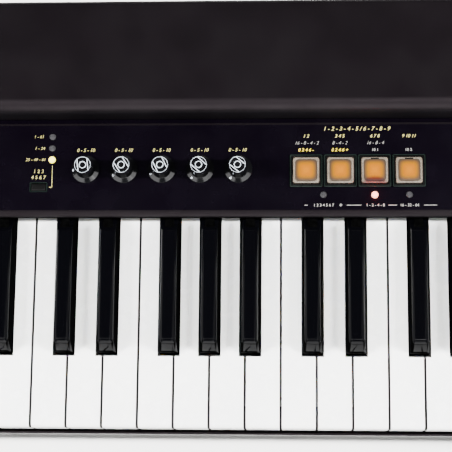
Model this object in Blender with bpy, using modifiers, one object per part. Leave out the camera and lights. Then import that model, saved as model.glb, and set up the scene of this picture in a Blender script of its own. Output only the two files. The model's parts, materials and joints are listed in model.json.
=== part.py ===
"""A 61-key drawbar organ with a waterfall keyboard, as separate pieces at their real size.

Metres, +Z up. The player sits on the -Y side and +X is the treble end. The origin is under the
centre of the case, on the surface that the feet stand on.
"""

import math

import bmesh
import bpy
from mathutils import Matrix, Vector

MM = 0.001
GAP = 0.3 * MM  # left between two pieces that touch on the real organ

# Keyboard, measured from the left end of the keys
WHITE_PITCH = 23.5 * MM
WHITE_COUNT = 36
WHITE_SPACE = 1.1 * MM  # between two white keys
WHITE_TOP = 57 * MM
WHITE_FRONT = -139.5 * MM
WHITE_NOTCH = -92.6 * MM  # where the white keys narrow beside the black ones
WHITE_FRONT_DEPTH = 20 * MM  # height of the waterfall front
WHITE_TAIL_DEPTH = 12 * MM
WHITE_EDGE_RADIUS = 3 * MM
WHITE_WALL = 2 * MM
BLACK_WIDTH = 13.7 * MM
BLACK_TOP_WIDTH = 10.4 * MM
BLACK_TOP = 68 * MM
BLACK_FRONT = -90.4 * MM
BLACK_LIP = 59.2 * MM  # top of the upright part of the front
BLACK_RIDGE = -84.1 * MM  # where the front slope meets the top
BLACK_STEP = 1 * MM  # behind this the top drops, to pass under the boards
BLACK_STEP_LENGTH = 5 * MM
BLACK_BOTTOM = 46 * MM
BLACK_EDGE = 1.7 * MM
BLACK_WALL = 1.8 * MM
KEY_CLEARANCE = 1 * MM  # between a black key and the white tails beside it
KEY_WALL_END = 48 * MM
TONGUE_END = 62 * MM
TONGUE_WIDTH = 9 * MM
HOOK_DEPTH = 5 * MM
PIVOT_Y = 56 * MM
BEAD_RADIUS = 2 * MM
PIVOT_Z = WHITE_TOP - WHITE_WALL - GAP - BEAD_RADIUS
KEYBOARD_LEFT = -WHITE_COUNT * WHITE_PITCH / 2
GANGED_OCTAVES = 3  # the keys left of the third octave line share two mouldings
FIRST_OCTAVE = 2
OCTAVES = 5
WHITE_NAMES = ("c", "d", "e", "f", "g", "a", "b")
# Black key to (white key on its left, offset of its centre from the gap between the whites)
BLACK_KEYS = {
    "c_sharp": (0, -2.6 * MM),
    "d_sharp": (1, 2.6 * MM),
    "f_sharp": (3, -3.4 * MM),
    "g_sharp": (4, 0.0),
    "a_sharp": (5, 3.4 * MM),
}

# Case
SHEET = 1.2 * MM
PANEL_SHEET = 1.6 * MM
CASE_HALF = 423.2 * MM
CHEEK_THICKNESS = 36.2 * MM
CASE_FRONT = -142.5 * MM
CASE_BACK = 140.5 * MM
CHEEK_BACK = 142.5 * MM
PAN_BOTTOM = 5 * MM
PAN_FRONT_TOP = 34 * MM
PAN_BACK_TOP = 60 * MM
BEND = 2 * MM
PANEL_TOP = 74 * MM
PANEL_NOSE = -3.1 * MM
NOSE_RADIUS = 4.6 * MM
PANEL_REAR = 60.8 * MM
PANEL_FLANGE_TOP = 70.4 * MM
HOOD_FRONT = 66 * MM
HOOD_TOP = 95 * MM
HOOD_FRONT_RADIUS = 7 * MM
HOOD_BACK_RADIUS = 4 * MM
HOOD_FOOT = PANEL_FLANGE_TOP + GAP
FOOT_HEIGHT = PAN_BOTTOM - GAP

# Controls on the panel
KNOB_Y = 29.4 * MM
KNOB_RADIUS = 9.25 * MM
KNOB_HEIGHT = 15.4 * MM
SHAFT_RADIUS = 3 * MM
TONE_KNOB_FIRST_X = 105.4 * MM
TONE_KNOB_PITCH = 25.4 * MM
# Pointer angles, clockwise from straight towards the player
TONE_KNOB_ANGLES = (84, 57, 64, 42, 39)
LEFT_KNOBS = {"volume_knob": (-390 * MM, 180), "vibrato_knob": (-270 * MM, 105)}
LEVER_X = -330 * MM
BUTTON_FIRST_X = 251.7 * MM
BUTTON_PITCH = 22.5 * MM
BUTTON_COUNT = 4
BUTTON_Y = 28.4 * MM
BUTTON_SIDE = 17.3 * MM
BUTTON_HOUSING = 21.4 * MM
BUTTON_RISE = 2.4 * MM
BUTTON_DEPTH = 4 * MM  # how far the cap reaches below the panel's top
BUTTON_TRAVEL = 1.5 * MM
STEM_LENGTH = 2.4 * MM
STEM_RADIUS = 2.6 * MM
MODE_X = 74 * MM
MODE_Y = 17.7 * MM
MODE_TRAVEL = 0.8 * MM
MODE_STEM_RADIUS = 1.3 * MM
LED_RADIUS = 2.1 * MM
MODE_LEDS = [(82.5 * MM, y * MM) for y in (52.0, 44.2, 36.4)]
BUTTON_LEDS = [(x * MM, 12.2 * MM) for x in (263.0, 296.7, 319.2)]
BOARD_BOTTOM = 64 * MM
BOARD_TOP = 65.6 * MM
MODE_SWITCH_TOP = BOARD_TOP + 3 * MM

# Drawbars
DRAWBAR_COUNT = 9
DRAWBAR_FIRST_X = -160 * MM
DRAWBAR_PITCH = 20 * MM
DRAWBAR_TRAVEL = 44 * MM
BAR_WIDTH = 12.4 * MM
BAR_BOTTOM = 77 * MM
BAR_TOP = 83.4 * MM
BAR_END = 132 * MM
CAP_WIDTH = 15.4 * MM
CAP_LENGTH = 15 * MM
CAP_BOTTOM = 75.2 * MM
CAP_TOP = 88 * MM
DRAWBAR_COLOURS = ("brown", "brown", "white", "white", "black", "white", "black", "black", "white")

# Rear connectors
SOCKET_BOARD_TOP = 21.6 * MM
SOCKET_AXIS = 31 * MM
JACK_XS = [x * MM for x in (-170, -195, -220, -245)]
DIN_XS = [x * MM for x in (-273, -299)]
USB_X = -325 * MM
POWER_INLET_X = -348 * MM
ROCKER_X = -378 * MM
ROCKER_TRAVEL = 12  # degrees from off to on
TRUNNION_RADIUS = 1.2 * MM
TRUNNION_REACH = 6.3 * MM


def clear_scene():
    for obj in list(bpy.data.objects):
        bpy.data.objects.remove(obj)


def new_collection(name):
    made = bpy.data.collections.new(name)
    bpy.context.scene.collection.children.link(made)
    return made


def new_material(name, colour, roughness, metallic=0.0):
    made = bpy.data.materials.new(name)
    made.use_nodes = True
    shader = made.node_tree.nodes["Principled BSDF"]
    shader.inputs["Base Color"].default_value = (*colour, 1.0)
    shader.inputs["Roughness"].default_value = roughness
    shader.inputs["Metallic"].default_value = metallic
    made.diffuse_color = (*colour, 1.0)
    return made


clear_scene()
ORGAN = new_collection("drawbar_organ")
HELPERS = new_collection("cutters")
CASE_PAINT = new_material("case_paint", (0.012, 0.011, 0.013), 0.45)
CHEEK_PAINT = new_material("cheek_paint", (0.015, 0.014, 0.015), 0.5)
STEEL = new_material("zinc_plated_steel", (0.55, 0.56, 0.58), 0.35, 1.0)
IVORY = new_material("white_key", (0.86, 0.86, 0.84), 0.25)
EBONY = new_material("black_key", (0.008, 0.008, 0.010), 0.2)
KNOB_BLACK = new_material("knob_black", (0.010, 0.010, 0.013), 0.25)
AMBER = new_material("lit_amber", (0.95, 0.42, 0.06), 0.35)
SWITCH_BLACK = new_material("switch_black", (0.012, 0.012, 0.014), 0.4)
BOARD_GREEN = new_material("circuit_board", (0.02, 0.14, 0.06), 0.5)
RUBBER = new_material("rubber", (0.02, 0.02, 0.02), 0.85)
CHROME = new_material("chrome", (0.80, 0.80, 0.82), 0.12, 1.0)
DRAWBAR_PLASTIC = {
    "brown": new_material("drawbar_brown", (0.17, 0.055, 0.022), 0.3),
    "white": new_material("drawbar_white", (0.86, 0.85, 0.80), 0.3),
    "black": new_material("drawbar_black", (0.012, 0.012, 0.013), 0.3),
}


# Small modelling tools

def add(name, mesh, material, origin=(0, 0, 0)):
    """A named piece of the organ. Its mesh is in the organ's frame, and its origin is then moved."""
    obj = bpy.data.objects.new(name, mesh)
    ORGAN.objects.link(obj)
    mesh.materials.clear()
    mesh.materials.append(material)
    if any(origin):
        mesh.transform(Matrix.Translation(-Vector(origin)))
        obj.location = origin
    return obj


def helper(name, mesh):
    """A shape that only cuts or joins another. It isn't a piece of the organ."""
    obj = bpy.data.objects.new(name, mesh)
    HELPERS.objects.link(obj)
    obj.hide_render = True
    obj.display_type = "WIRE"
    return obj


def finished(bm, name):
    mesh = bpy.data.meshes.new(name)
    bm.to_mesh(mesh)
    bm.free()
    return mesh


def evaluated_mesh(obj):
    """The object's mesh with its modifiers applied. The object itself is removed."""
    bpy.context.view_layer.update()
    graph = bpy.context.evaluated_depsgraph_get()
    mesh = bpy.data.meshes.new_from_object(obj.evaluated_get(graph))
    mesh.transform(obj.matrix_world)
    bpy.data.objects.remove(obj)
    return mesh


def joined(meshes, name):
    """One mesh that holds several closed shapes side by side."""
    bm = bmesh.new()
    for mesh in meshes:
        bm.from_mesh(mesh)
    return finished(bm, name)


def box_into(bm, low, high):
    centre = (Vector(low) + Vector(high)) / 2
    size = Vector(high) - Vector(low)
    place = Matrix.Translation(centre) @ Matrix.Diagonal((*size, 1))
    return bmesh.ops.create_cube(bm, size=1, matrix=place)["verts"]


def box(low, high, name="box"):
    bm = bmesh.new()
    box_into(bm, low, high)
    return finished(bm, name)


def cylinder(start, end, radius, sides, end_radius=None, name="cylinder"):
    """A round bar from start to end, both ends capped."""
    start, end = Vector(start), Vector(end)
    along = end - start
    turn = along.to_track_quat("Z", "X").to_matrix().to_4x4()
    bm = bmesh.new()
    bmesh.ops.create_cone(
        bm, cap_ends=True, segments=sides, depth=along.length,
        radius1=radius, radius2=radius if end_radius is None else end_radius,
        matrix=Matrix.Translation((start + end) / 2) @ turn,
    )
    return finished(bm, name)


def arc(centre, radius, start, end, steps):
    """Points of an arc in a plane, from start to end degrees."""
    found = []
    for i in range(steps + 1):
        angle = math.radians(start + (end - start) * i / steps)
        found.append((centre[0] + radius * math.cos(angle), centre[1] + radius * math.sin(angle)))
    return found


def outline_solid(points, thickness, place, name):
    """A flat outline, extruded to half the thickness on both sides of its plane, as a welded mesh."""
    curve = bpy.data.curves.new(name, "CURVE")
    curve.dimensions = "2D"
    curve.fill_mode = "BOTH"
    curve.extrude = thickness / 2
    spline = curve.splines.new("POLY")
    spline.points.add(len(points) - 1)
    for point, (u, v) in zip(spline.points, points):
        point.co = (u, v, 0, 1)
    spline.use_cyclic_u = True
    obj = bpy.data.objects.new(name, curve)
    HELPERS.objects.link(obj)
    obj.matrix_world = place
    mesh = evaluated_mesh(obj)
    bm = bmesh.new()
    bm.from_mesh(mesh)
    bmesh.ops.remove_doubles(bm, verts=bm.verts, dist=0.001 * MM)
    bmesh.ops.recalc_face_normals(bm, faces=bm.faces)
    return finished(bm, name)


def side_plane(x):
    """Puts an outline's (u, v) on the organ's (y, z), at this x."""
    return Matrix(((0, 0, 1, x), (1, 0, 0, 0), (0, 1, 0, 0), (0, 0, 0, 1)))


def front_plane(y):
    """Puts an outline's (u, v) on the organ's (x, z), at this y."""
    return Matrix(((1, 0, 0, 0), (0, 0, -1, y), (0, 1, 0, 0), (0, 0, 0, 1)))


def swept_strip(profile, half_width):
    """An open surface: the (y, z) profile swept along X, across both sides of the middle."""
    bm = bmesh.new()
    verts = [bm.verts.new((-half_width, y, z)) for y, z in profile]
    edges = [bm.edges.new(pair) for pair in zip(verts, verts[1:])]
    swept = bmesh.ops.extrude_edge_only(bm, edges=edges)["geom"]
    moved = [g for g in swept if isinstance(g, bmesh.types.BMVert)]
    bmesh.ops.translate(bm, verts=moved, vec=(2 * half_width, 0, 0))
    return bm


def solidify(obj, thickness):
    """Gives an open surface a wall on its inner side."""
    wall = obj.modifiers.new("wall", "SOLIDIFY")
    wall.thickness = thickness
    wall.offset = -1
    wall.solidify_mode = "NON_MANIFOLD"
    wall.nonmanifold_thickness_mode = "CONSTRAINTS"
    return obj


def combine(obj, other, operation):
    change = obj.modifiers.new(operation.lower(), "BOOLEAN")
    change.operation = operation
    change.object = other
    change.solver = "EXACT"
    return obj


def turned(profile, steps, name):
    """A solid of revolution about Z from an (x, z) profile that runs down its outer side."""
    bm = bmesh.new()
    verts = [bm.verts.new((x, 0, z)) for x, z in profile]
    for pair in zip(verts, verts[1:]):
        bm.edges.new(pair)
    obj = helper(name, finished(bm, name))
    screw = obj.modifiers.new("turn", "SCREW")
    screw.steps = steps
    screw.render_steps = steps
    screw.use_merge_vertices = True
    screw.merge_threshold = 0.00005
    return evaluated_mesh(obj)


# Keyboard

def white_left(index):
    return KEYBOARD_LEFT + index * WHITE_PITCH


def black_centre(octave, name):
    white, offset = BLACK_KEYS[name]
    return white_left(7 * octave + white + 1) + offset


def tail_cuts(index):
    """(left, right) sides of this white key's tail, beside the black keys next to it."""
    octave, step = divmod(index, 7)
    left = white_left(index) + WHITE_SPACE / 2
    right = white_left(index + 1) - WHITE_SPACE / 2
    reach = BLACK_WIDTH / 2 + KEY_CLEARANCE
    last = index == WHITE_COUNT - 1
    for name, (white, _) in BLACK_KEYS.items():
        if white == step and not last:
            right = black_centre(octave, name) - reach
        if white + 1 == step:
            left = black_centre(octave, name) + reach
    return left, right


def face_of(bm, points):
    """A flat face through these points in turn, facing up."""
    verts = [bm.verts.new(p) for p in points]
    edges = [bm.edges.new(pair) for pair in zip(verts, verts[1:] + verts[:1])]
    bmesh.ops.contextual_create(bm, geom=edges)
    bmesh.ops.recalc_face_normals(bm, faces=bm.faces)
    return verts


def drop_edges(bm, edges, depth):
    """Extrudes these edges straight down and returns the new ones."""
    made = bmesh.ops.extrude_edge_only(bm, edges=edges)["geom"]
    bmesh.ops.translate(
        bm, verts=[g for g in made if isinstance(g, bmesh.types.BMVert)], vec=(0, 0, -depth)
    )
    return [g for g in made if isinstance(g, bmesh.types.BMEdge)]


def face_up(bm):
    """Turns the whole open shell so that its highest level face looks up."""
    bmesh.ops.recalc_face_normals(bm, faces=bm.faces)
    level = [f for f in bm.faces if abs(f.normal.z) > 0.9]
    top = max(level, key=lambda f: f.calc_center_median().z)
    if top.normal.z < 0:
        bmesh.ops.reverse_faces(bm, faces=bm.faces)


def white_key_mesh(index, tongue_end=TONGUE_END):
    """One hollow white key: full width at its waterfall front, narrowed beside the black keys."""
    left = white_left(index) + WHITE_SPACE / 2
    right = white_left(index + 1) - WHITE_SPACE / 2
    tail_left, tail_right = tail_cuts(index)
    middle = (tail_left + tail_right) / 2
    plan = [(left, WHITE_FRONT), (right, WHITE_FRONT)]
    if tail_right < right:
        plan += [(right, WHITE_NOTCH), (tail_right, WHITE_NOTCH)]
    plan += [(tail_right, KEY_WALL_END)]
    walled = len(plan) - 1
    plan += [(middle + TONGUE_WIDTH / 2, KEY_WALL_END), (middle + TONGUE_WIDTH / 2, tongue_end)]
    plan += [(middle - TONGUE_WIDTH / 2, tongue_end), (middle - TONGUE_WIDTH / 2, KEY_WALL_END)]
    rest = len(plan)
    plan += [(tail_left, KEY_WALL_END)]
    if tail_left > left:
        plan += [(tail_left, WHITE_NOTCH), (left, WHITE_NOTCH)]
    bm = bmesh.new()
    verts = face_of(bm, [(x, y, WHITE_TOP) for x, y in plan])
    around = verts[rest:] + verts[: walled + 1]
    walls = [bm.edges.get(pair) for pair in zip(around, around[1:])]
    hook = [bm.edges.get((verts[walled + 2], verts[walled + 3]))]
    drop_edges(bm, walls, WHITE_TAIL_DEPTH)
    drop_edges(bm, hook, HOOK_DEPTH)
    bmesh.ops.bisect_plane(
        bm, geom=bm.verts[:] + bm.edges[:] + bm.faces[:], dist=0.001 * MM,
        plane_co=(0, WHITE_NOTCH, 0), plane_no=(0, 1, 0),
    )
    # The walls ahead of the notches are deeper than the tail's
    drop_edges(bm, front_rim(bm), WHITE_FRONT_DEPTH - WHITE_TAIL_DEPTH)
    front_top = max(
        (e for e in bm.edges if all(v.co.y < WHITE_FRONT + GAP for v in e.verts)),
        key=lambda e: e.verts[0].co.z + e.verts[1].co.z,
    )
    bmesh.ops.bevel(
        bm, geom=[front_top], offset=WHITE_EDGE_RADIUS, segments=3, profile=0.5,
        affect="EDGES", material=-1,
    )
    face_up(bm)
    obj = solidify(helper("white_key_shell", finished(bm, "white_key_shell")), WHITE_WALL)
    return evaluated_mesh(obj)


def front_rim(bm):
    """The lower rim of a white key's walls, from its front to the notches."""
    found = []
    for edge in bm.edges:
        ys = [v.co.y for v in edge.verts]
        low = max(v.co.z for v in edge.verts) < WHITE_TOP - HOOK_DEPTH - MM
        if edge.is_boundary and low and max(ys) < WHITE_NOTCH + GAP and min(ys) < WHITE_NOTCH - GAP:
            found.append(edge)
    return found


def black_key_mesh(centre, hook_bottom=WHITE_TOP - HOOK_DEPTH, tongue_end=TONGUE_END - MM):
    """One hollow black key: tapered sides, sloped front, and a low tail under the panel."""
    profile = [
        (BLACK_FRONT, BLACK_BOTTOM),
        (BLACK_FRONT, BLACK_LIP),
        (BLACK_RIDGE, BLACK_TOP),
        (BLACK_STEP, BLACK_TOP),
        (BLACK_STEP + BLACK_STEP_LENGTH, WHITE_TOP),
        (KEY_WALL_END, WHITE_TOP),
        (KEY_WALL_END, BLACK_BOTTOM),
    ]
    bm = bmesh.new()
    verts = [bm.verts.new((centre - BLACK_WIDTH / 2, y, z)) for y, z in profile]
    edges = [bm.edges.new(pair) for pair in zip(verts, verts[1:] + verts[:1])]
    bmesh.ops.contextual_create(bm, geom=edges)
    swept = bmesh.ops.extrude_face_region(bm, geom=bm.faces[:])["geom"]
    moved = [g for g in swept if isinstance(g, bmesh.types.BMVert)]
    bmesh.ops.translate(bm, verts=moved, vec=(BLACK_WIDTH, 0, 0))
    bmesh.ops.bisect_plane(
        bm, geom=bm.verts[:] + bm.edges[:] + bm.faces[:], dist=0.001 * MM,
        plane_co=(0, 0, WHITE_TOP), plane_no=(0, 0, 1),
    )
    bmesh.ops.recalc_face_normals(bm, faces=bm.faces)
    for vert in bm.verts:
        rise = max(0, vert.co.z - WHITE_TOP) / (BLACK_TOP - WHITE_TOP)
        vert.co.x = centre + (vert.co.x - centre) * (1 - rise * (1 - BLACK_TOP_WIDTH / BLACK_WIDTH))
    sharp = [
        e for e in bm.edges
        if min(v.co.z for v in e.verts) > WHITE_TOP + MM and e.calc_face_angle(0) > math.radians(25)
    ]
    bmesh.ops.bevel(
        bm, geom=sharp, offset=BLACK_EDGE, segments=1, profile=0.5, affect="EDGES", material=-1
    )
    open_faces = [
        f for f in bm.faces
        if f.normal.z < -0.9 or (f.normal.y > 0.9 and f.calc_center_median().y > KEY_WALL_END - MM)
    ]
    bmesh.ops.delete(bm, geom=open_faces, context="FACES")
    back = [
        e for e in bm.edges
        if all(v.co.y > KEY_WALL_END - GAP and v.co.z > WHITE_TOP - GAP for v in e.verts)
    ]
    made = bmesh.ops.extrude_edge_only(bm, edges=back)["geom"]
    for vert in [g for g in made if isinstance(g, bmesh.types.BMVert)]:
        vert.co.y = tongue_end
        vert.co.x = centre + (vert.co.x - centre) * TONGUE_WIDTH / BLACK_WIDTH
    last = [e for e in made if isinstance(e, bmesh.types.BMEdge) and all(
        v.co.y > tongue_end - GAP for v in e.verts)]
    drop_edges(bm, last, WHITE_TOP - hook_bottom)
    face_up(bm)
    obj = solidify(helper("black_key_shell", finished(bm, "black_key_shell")), BLACK_WALL)
    return evaluated_mesh(obj)


def key_origin(x):
    return (x, PIVOT_Y, PIVOT_Z)


def single_keys():
    """The keys of the top two octaves and the top C, each its own piece."""
    for index in range(7 * GANGED_OCTAVES, WHITE_COUNT):
        octave, step = divmod(index, 7)
        name = f"key_{WHITE_NAMES[step]}{FIRST_OCTAVE + octave}"
        add(name, white_key_mesh(index), IVORY, key_origin(white_left(index) + WHITE_PITCH / 2))
    for octave in range(GANGED_OCTAVES, OCTAVES):
        for note in BLACK_KEYS:
            centre = black_centre(octave, note)
            add(f"key_{note}{FIRST_OCTAVE + octave}", black_key_mesh(centre), EBONY, key_origin(centre))


def ganged_keys():
    """The lower three octaves: the whites on one hinge strip and the blacks on another below it."""
    whites = range(7 * GANGED_OCTAVES)
    blacks = [black_centre(octave, note) for octave in range(GANGED_OCTAVES) for note in BLACK_KEYS]
    strip_left = white_left(0) + 4 * MM
    strip_right = white_left(7 * GANGED_OCTAVES) - 4 * MM
    white_strip = box(
        (strip_left, TONGUE_END + 0.3 * MM, PIVOT_Z - 1.4 * MM),
        (strip_right, TONGUE_END + 4 * MM, WHITE_TOP - 0.7 * MM),
    )
    black_strip = box(
        (blacks[0] - 5 * MM, TONGUE_END - 3.6 * MM, PIVOT_Z - 8.7 * MM),
        (blacks[-1] + 5 * MM, TONGUE_END - 0.6 * MM, PIVOT_Z - 3.7 * MM),
    )
    middle = key_origin((strip_left + strip_right) / 2)
    white_keys = [white_key_mesh(i, TONGUE_END + 2.5 * MM) for i in whites]
    black_keys = [black_key_mesh(x, PIVOT_Z - 6 * MM) for x in blacks]
    white_set = helper("white_set", joined(white_keys, "white_set"))
    black_set = helper("black_set", joined(black_keys, "black_set"))
    combine(add("low_white_keys", white_strip, IVORY, middle), white_set, "UNION")
    combine(add("low_black_keys", black_strip, EBONY, middle), black_set, "UNION")


def comb(centres, tooth_width, low, root, tip, y, name):
    """A sheet across the keyboard with an upright guide tooth inside each key."""
    reach = CASE_HALF - 4 * MM
    top = []
    for x in centres:
        top += [(x - tooth_width / 2, root), (x - tooth_width / 2, tip)]
        top += [(x + tooth_width / 2, tip), (x + tooth_width / 2, root)]
    points = [(-reach, low), (-reach, root), *top, (reach, root), (reach, low)]
    return outline_solid(points[::-1], SHEET, front_plane(y), name)


def key_frame():
    """The steel chassis under the keys: two guide combs and a beaded rail that the keys rock on."""
    floor_low = PAN_BOTTOM + SHEET + GAP
    floor = box(
        (-CASE_HALF + 3 * MM, -122 * MM, floor_low),
        (CASE_HALF - 3 * MM, 60 * MM, floor_low + SHEET),
    )
    root = floor_low + SHEET / 2
    white_middles = [white_left(i) + WHITE_PITCH / 2 for i in range(WHITE_COUNT)]
    black_middles = [black_centre(o, n) for o in range(OCTAVES) for n in BLACK_KEYS]
    front_comb = comb(white_middles, 8 * MM, root, 26 * MM, 45 * MM, -117 * MM, "front_comb")
    middle_comb = comb(black_middles, 6 * MM, root, 37.4 * MM, 57.5 * MM, -79 * MM, "middle_comb")
    rail = box(
        (-CASE_HALF + 4 * MM, PIVOT_Y - SHEET / 2, root),
        (CASE_HALF - 4 * MM, PIVOT_Y + SHEET / 2, PIVOT_Z),
    )
    bead = cylinder(
        (-CASE_HALF + 4.5 * MM, PIVOT_Y, PIVOT_Z), (CASE_HALF - 4.5 * MM, PIVOT_Y, PIVOT_Z), BEAD_RADIUS, 12
    )
    obj = add("key_frame", floor, STEEL)
    for name, mesh in (("front_guides", front_comb), ("middle_guides", middle_comb),
                       ("fulcrum_wall", rail), ("fulcrum_bead", bead)):
        combine(obj, helper(name, mesh), "UNION")
    return obj


# Case

def base_pan():
    """The folded steel tray, closed at its ends by the end blocks, with the connectors' holes behind."""
    profile = [(CASE_FRONT, PAN_FRONT_TOP)]
    profile += arc((CASE_FRONT + BEND, PAN_BOTTOM + BEND), BEND, 180, 270, 3)
    profile += arc((CASE_BACK - BEND, PAN_BOTTOM + BEND), BEND, 270, 360, 3)
    profile += [(CASE_BACK, PAN_BACK_TOP)]
    bm = swept_strip(profile, CASE_HALF)
    face_up(bm)
    bmesh.ops.reverse_faces(bm, faces=bm.faces)
    obj = solidify(add("base_pan", finished(bm, "base_pan"), CASE_PAINT), SHEET)
    return combine(obj, helper("connector_holes", connector_holes()), "DIFFERENCE")


def control_panel():
    """The sheet-metal panel: a rounded nose over the keys, and a step at the back under the hood."""
    nose = arc((PANEL_NOSE + NOSE_RADIUS, PANEL_TOP - NOSE_RADIUS), NOSE_RADIUS, 180, 90, 8)
    profile = [(PANEL_NOSE, PANEL_TOP - NOSE_RADIUS - 0.6 * MM), *nose]
    profile += [(PANEL_REAR, PANEL_TOP), (PANEL_REAR, PANEL_FLANGE_TOP)]
    profile += [(HOOD_FRONT + 10 * MM, PANEL_FLANGE_TOP)]
    bm = swept_strip(profile, CASE_HALF - GAP)
    face_up(bm)
    obj = solidify(add("control_panel", finished(bm, "control_panel"), CASE_PAINT), PANEL_SHEET)
    return combine(obj, helper("panel_holes", panel_holes()), "DIFFERENCE")


def panel_holes():
    above, below = PANEL_TOP + 5 * MM, PANEL_TOP - 5 * MM
    shapes = []
    for x in knob_places().values():
        shapes.append(cylinder((x, KNOB_Y, below), (x, KNOB_Y, above), SHAFT_RADIUS + 0.6 * MM, 12))
    for x, y in MODE_LEDS + BUTTON_LEDS:
        shapes.append(cylinder((x, y, below), (x, y, above), LED_RADIUS + 0.35 * MM, 12))
    side = BUTTON_HOUSING / 2 + GAP
    for x in button_places():
        shapes.append(box((x - side, BUTTON_Y - side, below), (x + side, BUTTON_Y + side, above)))
    for x, y, half_x, half_y in ((MODE_X, MODE_Y, 5.5 * MM, 2.9 * MM), (LEVER_X, KNOB_Y, 6.5 * MM, 3 * MM)):
        shapes.append(box((x - half_x, y - half_y, below), (x + half_x, y + half_y, above)))
    return joined(shapes, "panel_holes")


def knob_places():
    """Name of each knob to its x."""
    places = {name: x for name, (x, _) in LEFT_KNOBS.items()}
    for i in range(len(TONE_KNOB_ANGLES)):
        places[f"tone_knob_{i + 1}"] = TONE_KNOB_FIRST_X + i * TONE_KNOB_PITCH
    return places


def button_places():
    return [BUTTON_FIRST_X + i * BUTTON_PITCH for i in range(BUTTON_COUNT)]


def drawbar_places():
    return [DRAWBAR_FIRST_X + i * DRAWBAR_PITCH for i in range(DRAWBAR_COUNT)]


def top_hood():
    """The raised rear cover, with a slot for each drawbar and a shelf inside that the bars run on."""
    shelf_end = BAR_END + 3 * MM
    profile = [(shelf_end, HOOD_FOOT), (HOOD_FRONT, HOOD_FOOT)]
    front, back = HOOD_FRONT_RADIUS, HOOD_BACK_RADIUS
    profile += arc((HOOD_FRONT + front, HOOD_TOP - front), front, 180, 90, 10)
    profile += arc((CASE_BACK - back, HOOD_TOP - back), back, 90, 0, 6)
    profile += [(CASE_BACK, PAN_BACK_TOP + GAP)]
    bm = swept_strip(profile, CASE_HALF - GAP)
    face_up(bm)
    obj = solidify(add("top_hood", finished(bm, "top_hood"), CASE_PAINT), SHEET)
    clear = 0.5 * MM
    slots = [
        box(
            (x - BAR_WIDTH / 2 - clear, HOOD_FRONT - 5 * MM, BAR_BOTTOM - clear),
            (x + BAR_WIDTH / 2 + clear, HOOD_FRONT + 5 * MM, BAR_TOP + clear),
        )
        for x in drawbar_places()
    ]
    return combine(obj, helper("drawbar_slots", joined(slots, "drawbar_slots")), "DIFFERENCE")


def cheek(side, name):
    """An end block. Its outline follows the keys, the panel and the hood, and ledges carry the sheets."""
    key_level, panel_level, hood_level = 64 * MM, PANEL_TOP + 1.4 * MM, HOOD_TOP + 1.5 * MM
    outline = [(CHEEK_BACK, PAN_BOTTOM)]
    outline += arc((CHEEK_BACK - 6 * MM, hood_level - 6 * MM), 6 * MM, 0, 90, 6)
    outline += arc((HOOD_FRONT + 7 * MM, hood_level - 9 * MM), 9 * MM, 90, 180, 8)
    outline += [(HOOD_FRONT - 3 * MM, panel_level)]
    outline += arc((PANEL_NOSE + 3 * MM, panel_level - 5.5 * MM), 5.5 * MM, 90, 180, 6)
    outline += [(PANEL_NOSE - 4 * MM, key_level)]
    outline += arc((CASE_FRONT + 9 * MM, key_level - 9 * MM), 9 * MM, 90, 180, 8)
    outline += [(CASE_FRONT, PAN_BOTTOM)]
    inner = side * (CASE_HALF + GAP)
    outer = inner + side * CHEEK_THICKNESS
    mesh = outline_solid(outline, CHEEK_THICKNESS, side_plane((inner + outer) / 2), name)
    bm = bmesh.new()
    bm.from_mesh(mesh)
    outside = [e for e in bm.edges if all(abs(v.co.x - outer) < GAP for v in e.verts)]
    rim = [e for e in outside if e.calc_face_angle(0) > 1]
    bmesh.ops.bevel(bm, geom=rim, offset=1.5 * MM, segments=2, profile=0.5, affect="EDGES", material=-1)
    obj = add(name, finished(bm, name), CHEEK_PAINT)
    root, tip = inner + side * MM, inner - side * 12 * MM
    low_x, high_x = min(root, tip), max(root, tip)
    ledges = [
        box((low_x, 6 * MM, 66 * MM), (high_x, 50 * MM, PANEL_TOP - PANEL_SHEET - GAP)),
        box((low_x, 80 * MM, 60 * MM), (high_x, 130 * MM, HOOD_FOOT - GAP)),
    ]
    return combine(obj, helper(name + "_ledges", joined(ledges, name + "_ledges")), "UNION")


def foot(name, y):
    """A long rubber foot glued under the tray, with its lower edges rounded off."""
    half = 398 * MM
    bm = bmesh.new()
    box_into(bm, (-half, y - 7 * MM, 0), (half, y + 7 * MM, FOOT_HEIGHT))
    low = [e for e in bm.edges if all(v.co.z < GAP for v in e.verts)]
    bmesh.ops.bevel(bm, geom=low, offset=1.2 * MM, segments=2, profile=0.5, affect="EDGES", material=-1)
    return add(name, finished(bm, name), RUBBER)


# Controls

def knob_mesh():
    """A turned knob: a plain grip on a conical skirt, bored for its shaft, with a pip as its pointer."""
    top, bottom = KNOB_HEIGHT, 0.6 * MM
    profile = [
        (0, top - 0.4 * MM), (5.2 * MM, top - 0.4 * MM), (5.5 * MM, top), (5.9 * MM, top - 0.3 * MM),
        (6.2 * MM, 3.1 * MM), (KNOB_RADIUS, 2.0 * MM), (KNOB_RADIUS, bottom),
        (SHAFT_RADIUS + GAP, bottom), (SHAFT_RADIUS + GAP, 10.4 * MM), (0, 10.4 * MM),
    ]
    body = helper("knob_body", turned(profile, 18, "knob_body"))
    pip = cylinder((0, -8.1 * MM, 2 * MM), (0, -8.1 * MM, 2.9 * MM), 0.8 * MM, 8)
    combine(body, helper("knob_pip", pip), "UNION")
    return evaluated_mesh(body)


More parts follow.
